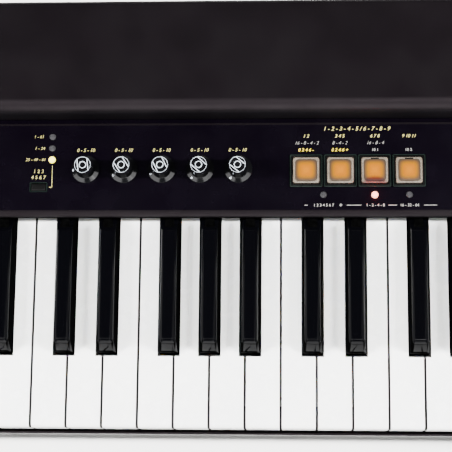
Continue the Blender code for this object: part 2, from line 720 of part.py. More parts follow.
def knobs():
    """All seven knobs share one shape. Each is turned to its own setting."""
    shared = knob_mesh()
    shared.materials.clear()
    shared.materials.append(KNOB_BLACK)
    angles = {name: angle for name, (_, angle) in LEFT_KNOBS.items()}
    for i, angle in enumerate(TONE_KNOB_ANGLES):
        angles[f"tone_knob_{i + 1}"] = angle
    for name, x in knob_places().items():
        obj = bpy.data.objects.new(name, shared)
        ORGAN.objects.link(obj)
        obj.location = (x, KNOB_Y, PANEL_TOP)
        obj.rotation_euler.z = -math.radians(angles[name])


def push_buttons():
    """Square lit buttons with a slightly crowned cap, each sliding in its housing."""
    bm = bmesh.new()
    half = BUTTON_SIDE / 2
    box_into(bm, (-half, -half, -BUTTON_DEPTH), (half, half, BUTTON_RISE))
    bmesh.ops.bevel(
        bm, geom=[e for e in bm.edges if abs(e.verts[0].co.z - e.verts[1].co.z) > MM],
        offset=1.4 * MM, segments=2, profile=0.5, affect="EDGES", material=-1,
    )
    bmesh.ops.bevel(
        bm, geom=[e for e in bm.edges if all(v.co.z > BUTTON_RISE - GAP for v in e.verts)],
        offset=1.0 * MM, segments=2, profile=0.5, affect="EDGES", material=-1,
    )
    cap = helper("push_button_cap", finished(bm, "push_button_cap"))
    stem = cylinder((0, 0, -BUTTON_DEPTH - STEM_LENGTH), (0, 0, 0), STEM_RADIUS, 10)
    shared = evaluated_mesh(combine(cap, helper("push_button_stem", stem), "UNION"))
    shared.materials.clear()
    shared.materials.append(AMBER)
    for i, x in enumerate(button_places()):
        obj = bpy.data.objects.new(f"push_button_{i + 1}", shared)
        ORGAN.objects.link(obj)
        obj.location = (x, BUTTON_Y, PANEL_TOP)


def mode_button():
    bm = bmesh.new()
    low = (MODE_X - 5.0 * MM, MODE_Y - 2.4 * MM, MODE_SWITCH_TOP + MODE_TRAVEL + GAP)
    box_into(bm, low, (MODE_X + 5.0 * MM, MODE_Y + 2.4 * MM, PANEL_TOP + 0.4 * MM))
    top = [e for e in bm.edges if all(v.co.z > PANEL_TOP for v in e.verts)]
    bmesh.ops.bevel(bm, geom=top, offset=0.4 * MM, segments=1, profile=0.5, affect="EDGES", material=-1)
    stem = cylinder(
        (MODE_X, MODE_Y, MODE_SWITCH_TOP - 0.8 * MM), (MODE_X, MODE_Y, PANEL_TOP - MM), MODE_STEM_RADIUS, 8
    )
    obj = add("mode_button", finished(bm, "mode_button"), SWITCH_BLACK)
    return combine(obj, helper("mode_button_stem", stem), "UNION")


def rotor_lever():
    """The bat lever for the rotor speed. It rocks left and right about its ball."""
    ball = 2.2 * MM
    profile = arc((0, 15 * MM), 2.6 * MM, 90, -10, 5)
    profile += [(1.5 * MM, 3 * MM), *arc((0, 0), ball, 45, -90, 5)]
    profile[0], profile[-1] = (0, profile[0][1]), (0, profile[-1][1])
    mesh = turned(profile, 12, "rotor_lever")
    mesh.transform(Matrix.Translation((LEVER_X, KNOB_Y, lever_pivot_z())))
    return add("rotor_lever", mesh, CHROME, (LEVER_X, KNOB_Y, lever_pivot_z()))


def lever_pivot_z():
    return PANEL_TOP - 3.5 * MM


def led_mesh(x, y):
    """A light-emitting diode standing on the board, its domed lens just proud of the panel."""
    crown = PANEL_TOP + 1.0 * MM
    profile = [(0, crown), (LED_RADIUS * 0.62, crown - 0.35 * MM), (LED_RADIUS, crown - 1.2 * MM)]
    profile += [(LED_RADIUS, BOARD_TOP - 0.5 * MM), (0, BOARD_TOP - 0.5 * MM)]
    mesh = turned(profile, 10, "led")
    mesh.transform(Matrix.Translation((x, y, 0)))
    return mesh


def block(x, y, half_x, half_y, low, high):
    """An upright box about (x, y)."""
    return box((x - half_x, y - half_y, low), (x + half_x, y + half_y, high))


def control_board():
    """The circuit board under the panel, with what is soldered to it: lamps, pots and switches."""
    board = box((-400 * MM, 7 * MM, BOARD_BOTTOM), (336 * MM, 57 * MM, BOARD_TOP))
    obj = add("control_board", board, BOARD_GREEN)
    base = BOARD_TOP - 0.5 * MM
    under_panel = PANEL_TOP - PANEL_SHEET - GAP
    lamps = [led_mesh(x, y) for x, y in MODE_LEDS + BUTTON_LEDS]
    bodies, shafts, wells, stem_bores = [], [], [], []
    for x in knob_places().values():
        bodies.append(block(x, KNOB_Y, 5 * MM, 5.5 * MM, base, under_panel))
        shaft_top = (x, KNOB_Y, PANEL_TOP + 9.5 * MM)
        shafts.append(cylinder((x, KNOB_Y, under_panel - MM), shaft_top, SHAFT_RADIUS, 12))
    side, hole = BUTTON_HOUSING / 2, BUTTON_SIDE / 2 + 0.4 * MM
    well_floor = PANEL_TOP - BUTTON_DEPTH - BUTTON_TRAVEL - 0.2 * MM
    for x in button_places():
        bodies.append(block(x, BUTTON_Y, side, side, base, PANEL_TOP + 0.5 * MM))
        wells.append(block(x, BUTTON_Y, hole, hole, well_floor, PANEL_TOP + MM))
        low, high = (x, BUTTON_Y, BOARD_TOP + 0.1 * MM), (x, BUTTON_Y, well_floor + MM)
        stem_bores.append(cylinder(low, high, STEM_RADIUS + GAP, 10))
    bodies.append(block(MODE_X, MODE_Y, 3 * MM, 3 * MM, base, MODE_SWITCH_TOP))
    low, high = (MODE_X, MODE_Y, BOARD_TOP + 0.6 * MM), (MODE_X, MODE_Y, PANEL_TOP)
    stem_bores.append(cylinder(low, high, MODE_STEM_RADIUS + GAP, 8))
    bodies.append(block(LEVER_X, KNOB_Y, 8 * MM, 5 * MM, base, under_panel))
    wells.append(block(LEVER_X, KNOB_Y, 5 * MM, 2.8 * MM, BOARD_TOP + MM, PANEL_TOP))
    combine(obj, helper("board_bodies", joined(bodies, "board_bodies")), "UNION")
    combine(obj, helper("board_lamps", joined(lamps, "board_lamps")), "UNION")
    combine(obj, helper("pot_shafts", joined(shafts, "pot_shafts")), "UNION")
    combine(obj, helper("switch_wells", joined(wells, "switch_wells")), "DIFFERENCE")
    combine(obj, helper("stem_bores", joined(stem_bores, "stem_bores")), "DIFFERENCE")
    return obj


# Drawbars

def drawbar_mesh():
    """One drawbar at x = 0, pushed in: cap, flat bar through the hood, and the runner behind."""
    cap_back = HOOD_FRONT - 0.8 * MM
    cap_front = cap_back - CAP_LENGTH
    outline = [(cap_back, CAP_BOTTOM), (cap_back, CAP_TOP - 3.4 * MM)]
    outline += arc((cap_back - 2 * MM, CAP_TOP - 3.4 * MM), 2 * MM, 0, 80, 2)[1:]
    outline += arc((cap_front + 3.2 * MM, CAP_TOP - 3.2 * MM), 3.2 * MM, 90, 190, 4)
    outline += [(cap_front + 1.6 * MM, CAP_BOTTOM + 3 * MM), (cap_front + 0.6 * MM, CAP_BOTTOM)]
    cap = outline_solid(outline[::-1], CAP_WIDTH, side_plane(0), "drawbar_cap")
    bm = bmesh.new()
    bm.from_mesh(cap)
    rims = [e for e in bm.edges if abs(e.verts[0].co.x - e.verts[1].co.x) < GAP and e.calc_face_angle(0) > 1]
    bmesh.ops.bevel(bm, geom=rims, offset=0.7 * MM, segments=1, profile=0.5, affect="EDGES", material=-1)
    body = helper("drawbar_body", finished(bm, "drawbar_body"))
    half = BAR_WIDTH / 2
    bar = box((-half, cap_back - 4 * MM, BAR_BOTTOM), (half, BAR_END, BAR_TOP))
    runner = box(
        (-half + MM, HOOD_FRONT + SHEET + DRAWBAR_TRAVEL + 1.4 * MM, HOOD_FOOT + SHEET + GAP),
        (half - MM, BAR_END - MM, BAR_BOTTOM + MM),
    )
    combine(body, helper("drawbar_bar", bar), "UNION")
    combine(body, helper("drawbar_runner", runner), "UNION")
    return evaluated_mesh(body)


def drawbars():
    shape = drawbar_mesh()
    meshes = {}
    for colour, material in DRAWBAR_PLASTIC.items():
        meshes[colour] = shape.copy()
        meshes[colour].materials.clear()
        meshes[colour].materials.append(material)
    for i, (x, colour) in enumerate(zip(drawbar_places(), DRAWBAR_COLOURS)):
        obj = bpy.data.objects.new(f"drawbar_{i + 1}", meshes[colour])
        ORGAN.objects.link(obj)
        obj.location = (x, 0, 0)


# Rear connectors

def connector_holes():
    """The holes in the tray's back wall, a little larger than what comes through them."""
    near, far = CASE_BACK - 6 * MM, CASE_BACK + 6 * MM
    shapes = [cylinder((x, near, SOCKET_AXIS), (x, far, SOCKET_AXIS), 5.2 * MM, 12) for x in JACK_XS]
    shapes += [cylinder((x, near, SOCKET_AXIS), (x, far, SOCKET_AXIS), 9 * MM, 16) for x in DIN_XS]
    for x, half_x, half_z in ((USB_X, 6.5, 6), (POWER_INLET_X, 5.0, 5.5), (ROCKER_X, 11, 7.5)):
        shapes.append(snout(x, half_x * MM, half_z * MM, near, far))
    return joined(shapes, "connector_holes")


def snout(x, half_x, half_z, near, far):
    """A box about the connectors' axis, from near to far."""
    return box((x - half_x, near, SOCKET_AXIS - half_z), (x + half_x, far, SOCKET_AXIS + half_z))


def jack_board():
    """The rear circuit board, with its jacks, round sockets, data socket, power inlet and switch body."""
    board = box((-392 * MM, 100 * MM, SOCKET_BOARD_TOP - 1.6 * MM), (-158 * MM, 138 * MM, SOCKET_BOARD_TOP))
    obj = add("jack_board", board, SWITCH_BLACK)
    base, inside = SOCKET_BOARD_TOP - 0.5 * MM, CASE_BACK - SHEET - GAP
    flush = CASE_BACK - 0.2 * MM
    bodies, collars, bores = [], [], []
    for x in (-388 * MM, -312 * MM, -236 * MM, -162 * MM):
        for y in (106 * MM, 132 * MM):
            bodies.append(cylinder((x, y, PAN_BOTTOM + SHEET + GAP), (x, y, base), 2.5 * MM, 8))
    past_back = CHEEK_BACK + MM
    for x in JACK_XS:
        bodies.append(box((x - 8 * MM, 112 * MM, base), (x + 8 * MM, inside, SOCKET_AXIS + 8 * MM)))
        tip = (x, CHEEK_BACK - 0.1 * MM, SOCKET_AXIS)
        collars.append(cylinder((x, inside - MM, SOCKET_AXIS), tip, 4.8 * MM, 12))
        bores.append(cylinder((x, 115 * MM, SOCKET_AXIS), (x, past_back, SOCKET_AXIS), 3.3 * MM, 12))
    for x in DIN_XS:
        bodies.append(box((x - 10 * MM, 122 * MM, base), (x + 10 * MM, inside, SOCKET_AXIS + 10 * MM)))
        collars.append(cylinder((x, inside - MM, SOCKET_AXIS), (x, flush, SOCKET_AXIS), 8.6 * MM, 16))
        bottom = (x, flush - 9 * MM, SOCKET_AXIS)
        bores.append(cylinder(bottom, (x, past_back, SOCKET_AXIS), 6.8 * MM, 12))
    # Half width and half height of each rectangular snout, then of the sockets bored into two of them
    for x, half_x, half_z in ((USB_X, 6, 5.5), (POWER_INLET_X, 4.5, 5), (ROCKER_X, 10.5, 7)):
        half_x, half_z = half_x * MM, half_z * MM
        bodies.append(box((x - half_x, 122 * MM, base), (x + half_x, inside, SOCKET_AXIS + half_z)))
        collars.append(snout(x, half_x, half_z, inside - MM, flush))
    for x, half_x, half_z in ((USB_X, 4.3, 3.9), (ROCKER_X, 9, 5.5)):
        bores.append(snout(x, half_x * MM, half_z * MM, flush - 10 * MM, CHEEK_BACK))
    x = POWER_INLET_X
    bores.append(cylinder((x, flush - 9 * MM, SOCKET_AXIS), (x, CHEEK_BACK, SOCKET_AXIS), 3.1 * MM, 12))
    pin = cylinder((x, flush - 10 * MM, SOCKET_AXIS), (x, flush - MM, SOCKET_AXIS), 1 * MM, 8)
    combine(obj, helper("connector_bodies", joined(bodies, "connector_bodies")), "UNION")
    combine(obj, helper("connector_collars", joined(collars, "connector_collars")), "UNION")
    combine(obj, helper("connector_bores", joined(bores, "connector_bores")), "DIFFERENCE")
    combine(obj, helper("inlet_pin", pin), "UNION")
    pivot_hole = trunnions(TRUNNION_RADIUS + GAP, TRUNNION_REACH + GAP)
    return combine(obj, helper("rocker_pivot_hole", pivot_hole), "DIFFERENCE")


def trunnions(radius, reach):
    """The upright pin that the power rocker turns on."""
    y = rocker_pivot_y()
    return cylinder((ROCKER_X, y, SOCKET_AXIS - reach), (ROCKER_X, y, SOCKET_AXIS + reach), radius, 8)


def rocker_pivot_y():
    return CASE_BACK - 3.4 * MM


def power_rocker():
    """The power switch's rocker: a shallow V across its face, on a pivot in the middle."""
    pivot = rocker_pivot_y()
    reach = 8.2 * MM
    tilt = math.radians(ROCKER_TRAVEL / 2)
    face = 3.0 * MM
    outline = [
        (ROCKER_X - reach, pivot + face + reach * math.sin(tilt)), (ROCKER_X - reach, pivot - 1.5 * MM),
        (ROCKER_X - 3 * MM, pivot - 3 * MM), (ROCKER_X + 3 * MM, pivot - 3 * MM),
        (ROCKER_X + reach, pivot - 1.5 * MM), (ROCKER_X + reach, pivot + face + reach * math.sin(tilt)),
        (ROCKER_X, pivot + face),
    ]
    mesh = outline_solid(outline, 10 * MM, Matrix.Translation((0, 0, SOCKET_AXIS)), "power_rocker")
    obj = add("power_rocker", mesh, SWITCH_BLACK)
    combine(obj, helper("rocker_trunnions", trunnions(TRUNNION_RADIUS, TRUNNION_REACH)), "UNION")
    mesh = evaluated_mesh(obj)
    obj = add("power_rocker", mesh, SWITCH_BLACK, (ROCKER_X, pivot, SOCKET_AXIS))
    obj.rotation_euler.z = math.radians(ROCKER_TRAVEL / 2)
    return obj


def main():
    base_pan()
    control_panel()
    top_hood()
    cheek(-1, "left_cheek")
    cheek(1, "right_cheek")
    foot("front_foot", -118 * MM)
    foot("rear_foot", 118 * MM)
    key_frame()
    ganged_keys()
    single_keys()
    control_board()
    knobs()
    push_buttons()
    mode_button()
    rotor_lever()
    drawbars()
    jack_board()
    power_rocker()


main()
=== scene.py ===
import json
import math

import bmesh
import bpy
from mathutils import Matrix, Vector

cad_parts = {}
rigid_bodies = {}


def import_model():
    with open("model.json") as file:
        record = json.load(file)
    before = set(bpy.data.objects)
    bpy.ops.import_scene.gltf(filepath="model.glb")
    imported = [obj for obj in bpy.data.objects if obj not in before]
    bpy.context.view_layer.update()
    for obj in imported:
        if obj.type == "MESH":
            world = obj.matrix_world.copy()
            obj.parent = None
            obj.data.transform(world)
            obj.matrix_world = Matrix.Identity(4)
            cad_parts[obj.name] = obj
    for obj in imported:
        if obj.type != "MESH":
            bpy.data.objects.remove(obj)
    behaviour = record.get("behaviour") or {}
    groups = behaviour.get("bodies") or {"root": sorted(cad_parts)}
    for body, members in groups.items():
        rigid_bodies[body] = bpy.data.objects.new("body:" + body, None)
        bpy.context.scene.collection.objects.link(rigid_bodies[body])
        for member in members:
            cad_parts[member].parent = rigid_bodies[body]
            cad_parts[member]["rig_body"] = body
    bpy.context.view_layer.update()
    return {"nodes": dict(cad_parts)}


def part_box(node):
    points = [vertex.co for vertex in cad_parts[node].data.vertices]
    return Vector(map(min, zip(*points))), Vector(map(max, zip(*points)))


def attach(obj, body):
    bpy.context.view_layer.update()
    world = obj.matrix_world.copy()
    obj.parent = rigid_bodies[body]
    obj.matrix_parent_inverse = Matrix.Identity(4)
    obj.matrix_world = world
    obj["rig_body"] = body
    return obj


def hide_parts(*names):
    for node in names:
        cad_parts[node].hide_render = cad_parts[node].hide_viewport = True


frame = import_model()

# The drawbar organ, dressed. Everything is in metres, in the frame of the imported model:
# +X towards the treble end, +Y away from the player, +Z up.

MM = 0.001
NODES = frame["nodes"]
CASE = "case"
WELD = 0.02 * MM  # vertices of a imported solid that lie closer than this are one
SEAM = 0.001 * MM  # and so are the vertices of a spun form
FONT_SEAM = 0.001  # and those of a character, in the font's own units
NEAR = 0.1 * MM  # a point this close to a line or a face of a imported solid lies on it
INK = 0.05 * MM  # how far printed ink stands up
PANEL_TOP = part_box("control_panel")[1].z
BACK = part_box("base_pan")[1].y
FILM_FRONT = 2.1 * MM  # the printed film covers the panel's flat from here
FILM_REAR = 59.8 * MM  # to here

# Controls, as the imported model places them
TONE_KNOBS = [f"tone_knob_{i}" for i in range(1, 6)]
PUSH_BUTTONS = [f"push_button_{i}" for i in range(1, 5)]
DRAWBARS = [f"drawbar_{i}" for i in range(1, 10)]
# Where each pointer stands, in degrees clockwise from straight towards the player
POINTER_ANGLES = dict(zip(TONE_KNOBS, (84, 57, 64, 42, 39)), volume_knob=180, vibrato_knob=105)
MODE_LAMPS = [(82.5 * MM, y * MM) for y in (52.0, 44.2, 36.4)]
BUTTON_LAMPS = [(x * MM, 12.2 * MM) for x in (263.0, 296.7, 319.2)]
YELLOW_LAMP_NUMBER = 3  # counted through the mode lamps and on through the button lamps
RED_LAMP_NUMBER = 5
RED_LAMP = Vector((*BUTTON_LAMPS[1], PANEL_TOP))
BESIDE_RED_LAMP = "push_button_3"
LATCHED = ("push_button_3", "push_button_4")  # these caps show a small black latch
# From left to right
DRAWBAR_COLOURS = ("brown", "brown", "white", "white", "black", "white", "black", "black", "white")
FOOTAGES = ("16", "5", "8", "4", "3", "2", "1", "1", "1")
SOCKET_AXIS = 31 * MM
JACK_XS = [x * MM for x in (-170, -195, -220, -245)]
ROUND_SOCKET_XS = [x * MM for x in (-273, -299)]

# Camera, fitted to the photograph
CAMERA_PLACE = (0.24696, -0.17926, 0.96085)
CAMERA_TURN = (10.902, 2.984, 0.540)
CAMERA_LENS = 109.73
SENSOR = 36.0


# Colours and shader nodes

def colour(code):
    """An sRGB hex colour as the linear values that shaders take."""
    channels = []
    for i in (1, 3, 5):
        value = int(code[i:i + 2], 16) / 255
        channels.append(value / 12.92 if value <= 0.04045 else ((value + 0.055) / 1.055) ** 2.4)
    return (*channels, 1.0)


def add_node(tree, kind, settings=None, links=None):
    """One shader node. A setting names a socket where there is one, and otherwise an attribute."""
    made = tree.nodes.new("ShaderNode" + kind)
    for key, value in (settings or {}).items():
        if isinstance(key, int) or key in made.inputs:
            made.inputs[key].default_value = value
        else:
            setattr(made, key, value)
    for key, source in (links or {}).items():
        tree.links.new(source, made.inputs[key])
    return made


def new_finish(name, values):
    """A new material, with its node tree, its main shader set to these values, and its coordinates."""
    made = bpy.data.materials.new(name)
    made.use_nodes = True
    tree = made.node_tree
    shader = tree.nodes["Principled BSDF"]
    for socket, value in values.items():
        shader.inputs[socket].default_value = value
    place = add_node(tree, "TexCoord").outputs["Object"]
    return made, tree, shader, place


def mottle(tree, shader, place, size, first, second, low=0.35, high=0.65):
    """Clouds this large drift between two colours, as a moulding or a coat is never quite even.

    It returns the colour, for a finish that has more to do with it.
    """
    cloud = add_node(tree, "TexNoise", {"Scale": 1 / size, "Detail": 3.0}, {"Vector": place})
    share = add_node(tree, "MapRange", {"From Min": low, "From Max": high}, {"Value": cloud.outputs["Fac"]})
    mixed = add_node(
        tree, "Mix", {"data_type": "RGBA", 6: colour(first), 7: colour(second)}, {0: share.outputs["Result"]}
    )
    tree.links.new(mixed.outputs[2], shader.inputs["Base Color"])
    return mixed.outputs[2]


def uneven_gloss(tree, shader, place, size, least, most):
    """Handling and dust this large move the roughness between two values."""
    marks = add_node(tree, "TexNoise", {"Scale": 1 / size, "Detail": 4.0}, {"Vector": place})
    gloss = add_node(
        tree, "MapRange", {"From Min": 0.35, "From Max": 0.68, "To Min": least, "To Max": most},
        {"Value": marks.outputs["Fac"]},
    )
    tree.links.new(gloss.outputs["Result"], shader.inputs["Roughness"])


def relief(tree, shader, place, size, depth):
    """Lumps this large and this deep in the surface."""
    lumps = add_node(tree, "TexNoise", {"Scale": 1 / size, "Detail": 2.0}, {"Vector": place})
    bump = add_node(tree, "Bump", {"Strength": 0.6, "Distance": depth}, {"Height": lumps.outputs["Fac"]})
    tree.links.new(bump.outputs["Normal"], shader.inputs["Normal"])


# Finishes

PEBBLE = 0.5 * MM  # in the powder coat: coarser than life, because real pebbles are too fine to show
RED_GLOW_FADE = 1.8 * MM  # painted light: the lit lamp's red glow, painted into colours, grows to its full tint over this distance


def white_abs():
    """Polished ABS of the natural keys: a clean gloss with faint finger marks and a soft warm depth."""
    made, tree, shader, place = new_finish(
        "polished_white_abs",
        {"IOR": 1.53, "Subsurface Weight": 0.06, "Subsurface Scale": 0.004,
         "Subsurface Radius": (1.0, 0.75, 0.45)},
    )
    mottle(tree, shader, place, 60 * MM, "#EDEDEC", "#F4F4F1")
    uneven_gloss(tree, shader, place, 9 * MM, 0.18, 0.32)
    relief(tree, shader, place, 1.6 * MM, 0.003 * MM)
    return made


def shaded_abs():
    """The upright sides of the naturals: dull, and painted dark grey as the shade in the narrow gaps, so that
    the gaps read as dark lines.
    """
    made, tree, shader, place = new_finish("abs_sides_painted_shade", {"Roughness": 0.8, "Specular IOR Level": 0.1})
    mottle(tree, shader, place, 12 * MM, "#1E1D1B", "#2A2926")
    return made


def black_abs():
    """Polished black ABS of the sharps: a clear thin gloss, under a trace of dust."""
    made, tree, shader, place = new_finish("polished_black_abs", {"IOR": 1.5, "Specular IOR Level": 0.05})
    mottle(tree, shader, place, 0.9 * MM, "#020203", "#050507", 0.6, 0.8)
    uneven_gloss(tree, shader, place, 12 * MM, 0.05, 0.12)
    return made


def grained_abs():
    """The upright sides of the sharps, grained by their mould: the grain swallows nearly all light."""
    made, tree, shader, place = new_finish("grained_black_abs", {"Roughness": 0.9, "Specular IOR Level": 0.0})
    mottle(tree, shader, place, 2 * MM, "#010101", "#030303")
    relief(tree, shader, place, 0.4 * MM, 0.02 * MM)
    return made


def printed_film():
    """The printed film over the panel's flat: a dense purple-black, hard and nearly matt."""
    made, tree, shader, place = new_finish(
        "black_overlay_film", {"IOR": 1.5, "Specular IOR Level": 0.12, "Specular Tint": colour("#E4D2FF")}
    )
    mottle(tree, shader, place, 40 * MM, "#020103", "#030204")
    uneven_gloss(tree, shader, place, 25 * MM, 0.22, 0.30)
    relief(tree, shader, place, 0.5 * MM, 0.008 * MM)
    return made


def powder_coat(name, base, cloud, level):
    """Black powder coat on steel: baked in fine pebbles, which spread its weak gloss into a dull sheen."""
    made, tree, shader, place = new_finish(
        name, {"IOR": 1.5, "Specular IOR Level": level, "Specular Tint": colour("#FFECF5")}
    )
    mottle(tree, shader, place, 40 * MM, base, cloud)
    uneven_gloss(tree, shader, place, 25 * MM, 0.45, 0.53)
    pebbles = add_node(
        tree, "TexVoronoi", {"feature": "SMOOTH_F1", "Scale": 1 / PEBBLE, "Smoothness": 0.7},
        {"Vector": place},
    )
    bump = add_node(
        tree, "Bump", {"Strength": 0.35, "Distance": 0.012 * MM}, {"Height": pebbles.outputs["Distance"]}
    )
    tree.links.new(bump.outputs["Normal"], shader.inputs["Normal"])
    return made


def matt_primer():
    """Black primer on the sheet's turned-down lip, where the top coat hardly reaches: no shine at all."""
    made, tree, shader, place = new_finish("black_etch_primer", {"Roughness": 0.9, "Specular IOR Level": 0.0})
    mottle(tree, shader, place, 5 * MM, "#080708", "#0C0B0C")
    return made


def satin_lacquer():
    """Satin black lacquer on the end blocks: a low sheen with a faint orange-peel ripple."""
    made, tree, shader, place = new_finish("satin_black_lacquer", {"IOR": 1.5, "Specular IOR Level": 0.1})
    mottle(tree, shader, place, 30 * MM, "#050506", "#09090B")
    uneven_gloss(tree, shader, place, 7 * MM, 0.30, 0.40)
    relief(tree, shader, place, 2.2 * MM, 0.015 * MM)
    return made


def zinc_plate():
    """Bright zinc plate on sheet steel: pale grey, streaked along the way that the sheet was rolled."""
    made, tree, shader, place = new_finish("zinc_plated_steel", {"Metallic": 1.0})
    mottle(tree, shader, place, 6 * MM, "#A2A5A9", "#C4C6C9")
    along = add_node(tree, "Mapping", {"Scale": (0.05, 1.0, 1.0)}, {"Vector": place})
    uneven_gloss(tree, shader, along.outputs["Vector"], 0.6 * MM, 0.26, 0.42)
    return made


def moulded_plastic(name, base, cloud, roughness, level=0.1, grain=0.5 * MM, depth=0.01 * MM):
    """Injection-moulded plastic: the fine spark-eroded texture of its tool breaks its shine a little."""
    made, tree, shader, place = new_finish(name, {"IOR": 1.5, "Specular IOR Level": level})
    mottle(tree, shader, place, 14 * MM, base, cloud)
    uneven_gloss(tree, shader, place, 5 * MM, roughness * 0.85, roughness * 1.2)
    relief(tree, shader, place, grain, depth)
    return made


def plated(name, base, cloud, roughness):
    """Plated metal: a clear mirror under a polishing haze."""
    made, tree, shader, place = new_finish(name, {"Metallic": 1.0})
    mottle(tree, shader, place, 3 * MM, base, cloud)
    uneven_gloss(tree, shader, place, 3 * MM, roughness * 0.7, roughness * 1.3)
    return made


def printed_ink(name, thick, thin):
    """Screen-printed ink: flat, and thinner in places where the mesh held it back."""
    made, tree, shader, place = new_finish(name, {"Roughness": 0.6})
    mottle(tree, shader, place, 0.5 * MM, thin, thick, 0.3, 0.5)
    relief(tree, shader, place, 0.3 * MM, 0.01 * MM)
    return made


def moulded_rubber():
    """Black rubber: no shine, and a dusty bloom."""
    made, tree, shader, place = new_finish("moulded_rubber", {"Roughness": 0.85})
    mottle(tree, shader, place, 3 * MM, "#0B0B0B", "#181717")
    relief(tree, shader, place, 0.7 * MM, 0.05 * MM)
    return made


def red_spill(tree, place, colours, reach, tint):
    """Painted light: colours that turn towards a tint near the lit red lamp, from this reach inwards, as if
    its red glow fell on them.
    """
    away = add_node(tree, "VectorMath", {"operation": "DISTANCE", 1: RED_LAMP}, {0: place})
    share = add_node(
        tree, "MapRange", {"From Min": reach, "From Max": reach - RED_GLOW_FADE},
        {"Value": away.outputs["Value"]},
    )
    return add_node(
        tree, "Mix", {"data_type": "RGBA", "blend_type": "MULTIPLY", 7: colour(tint)},
        {0: share.outputs["Result"], 6: colours},
    ).outputs[2]


def lit_window(name, tint="#FFFFFF"):
    """Amber acrylic over a lamp: bright in the middle, browner where it nears its square edge.

    It adds the fourth powers of the window's two directions, so that the bands of colour are rounded
    squares, as the window is.
    """
    made, tree, shader, place = new_finish(
        name, {"Roughness": 0.3, "Specular IOR Level": 0.1, "Emission Strength": 1.0}
    )
    across = add_node(tree, "UVMap", {"uv_map": "window"}).outputs["UV"]
    squared = add_node(tree, "VectorMath", {"operation": "MULTIPLY"}, {0: across, 1: across})
    length = add_node(tree, "VectorMath", {"operation": "LENGTH"}, {0: squared.outputs["Vector"]})
    away = add_node(tree, "Math", {"operation": "SQRT"}, {0: length.outputs["Value"]})
    bands = add_node(tree, "ValToRGB", None, {"Fac": away.outputs["Value"]})
    stops = ((0.15, "#C07300"), (0.46, "#B36800"), (0.58, "#AA6600"), (0.67, "#9C640C"),
             (0.76, "#835822"), (0.86, "#6A4A2B"), (0.94, "#53402F"), (1.0, "#4A3E33"))
    points = bands.color_ramp.elements
    for stop in stops[1:-1]:
        points.new(stop[0])
    for point, stop in zip(points, stops):
        point.position = stop[0]
        point.color = colour(stop[1])
    # painted red glow of the nearby lamp, in the window's colour and its own emission, where a tint is given
    tinted = red_spill(tree, place, bands.outputs["Color"], 12.9 * MM, tint)
    dimmed = add_node(
        tree, "Mix", {"data_type": "RGBA", "blend_type": "MULTIPLY", 0: 1.0, 7: colour("#8C8C8C")},
        {6: tinted},
    )
    tree.links.new(dimmed.outputs[2], shader.inputs["Base Color"])
    tree.links.new(tinted, shader.inputs["Emission Color"])
    relief(tree, shader, place, 1.4 * MM, 0.02 * MM)
    return made


def frosted_frame(name, tint="#FFFFFF"):
    """Frosted acrylic round a window: warm grey, with a soft shine on its rounded edge."""
    made, tree, shader, place = new_finish(name, {"Specular IOR Level": 0.3})
    plain = mottle(tree, shader, place, 3 * MM, "#4A4239", "#5A5147")
    uneven_gloss(tree, shader, place, 2 * MM, 0.2, 0.4)
    # painted red glow of the nearby lamp, where a tint is given
    tree.links.new(red_spill(tree, place, plain, 12.4 * MM, tint), shader.inputs["Base Color"])
    return made


def lamp_lens(name, base, cloud, glow="#000000", strength=0.0):
    """The epoxy lens of a lamp: milky grey when it is off, and glowing all over when it is lit."""
    made, tree, shader, place = new_finish(
        name,
        {"IOR": 1.5, "Specular IOR Level": 0.1,
         "Emission Color": colour(glow), "Emission Strength": strength},
    )
    mottle(tree, shader, place, 0.8 * MM, base, cloud)
    uneven_gloss(tree, shader, place, 1 * MM, 0.2, 0.3)
    return made


def studio_paper():
    """Pale seamless paper: matt, with clouds of tone too faint to draw the eye."""
    made, tree, shader, place = new_finish("pale_studio_paper", {"Roughness": 0.8})
    mottle(tree, shader, place, 400 * MM, "#DAD9D6", "#E2E1DE")
    return made


WHITE_ABS = white_abs()
PAINTED_SHADE_ABS = shaded_abs()
BLACK_ABS = black_abs()
GRAINED_ABS = grained_abs()
FILM = printed_film()
COAT = powder_coat("black_powder_coat", "#030203", "#050405", 0.105)
PANEL_COAT = powder_coat("thin_powder_coat", "#030203", "#050405", 0.08)  # it shines a little less
PAINTED_LIGHT_COAT = powder_coat("powder_coat_painted_lighter", "#0A090B", "#0E0D0F", 0.1)  # painted light: lighter than the coat elsewhere, for the hood's front faces, which the lamps leave too dark
PRIMER = matt_primer()
LACQUER = satin_lacquer()
ZINC = zinc_plate()
KNOB_PLASTIC = moulded_plastic("moulded_phenolic", "#050506", "#09090A", 0.12)
SWITCH_PLASTIC = moulded_plastic("black_switch_abs", "#030303", "#060606", 0.35)
BEZEL_PLASTIC = moulded_plastic("green_black_abs", "#0E1613", "#121B17", 0.3)
CAP_FRAME = frosted_frame("frosted_acrylic")
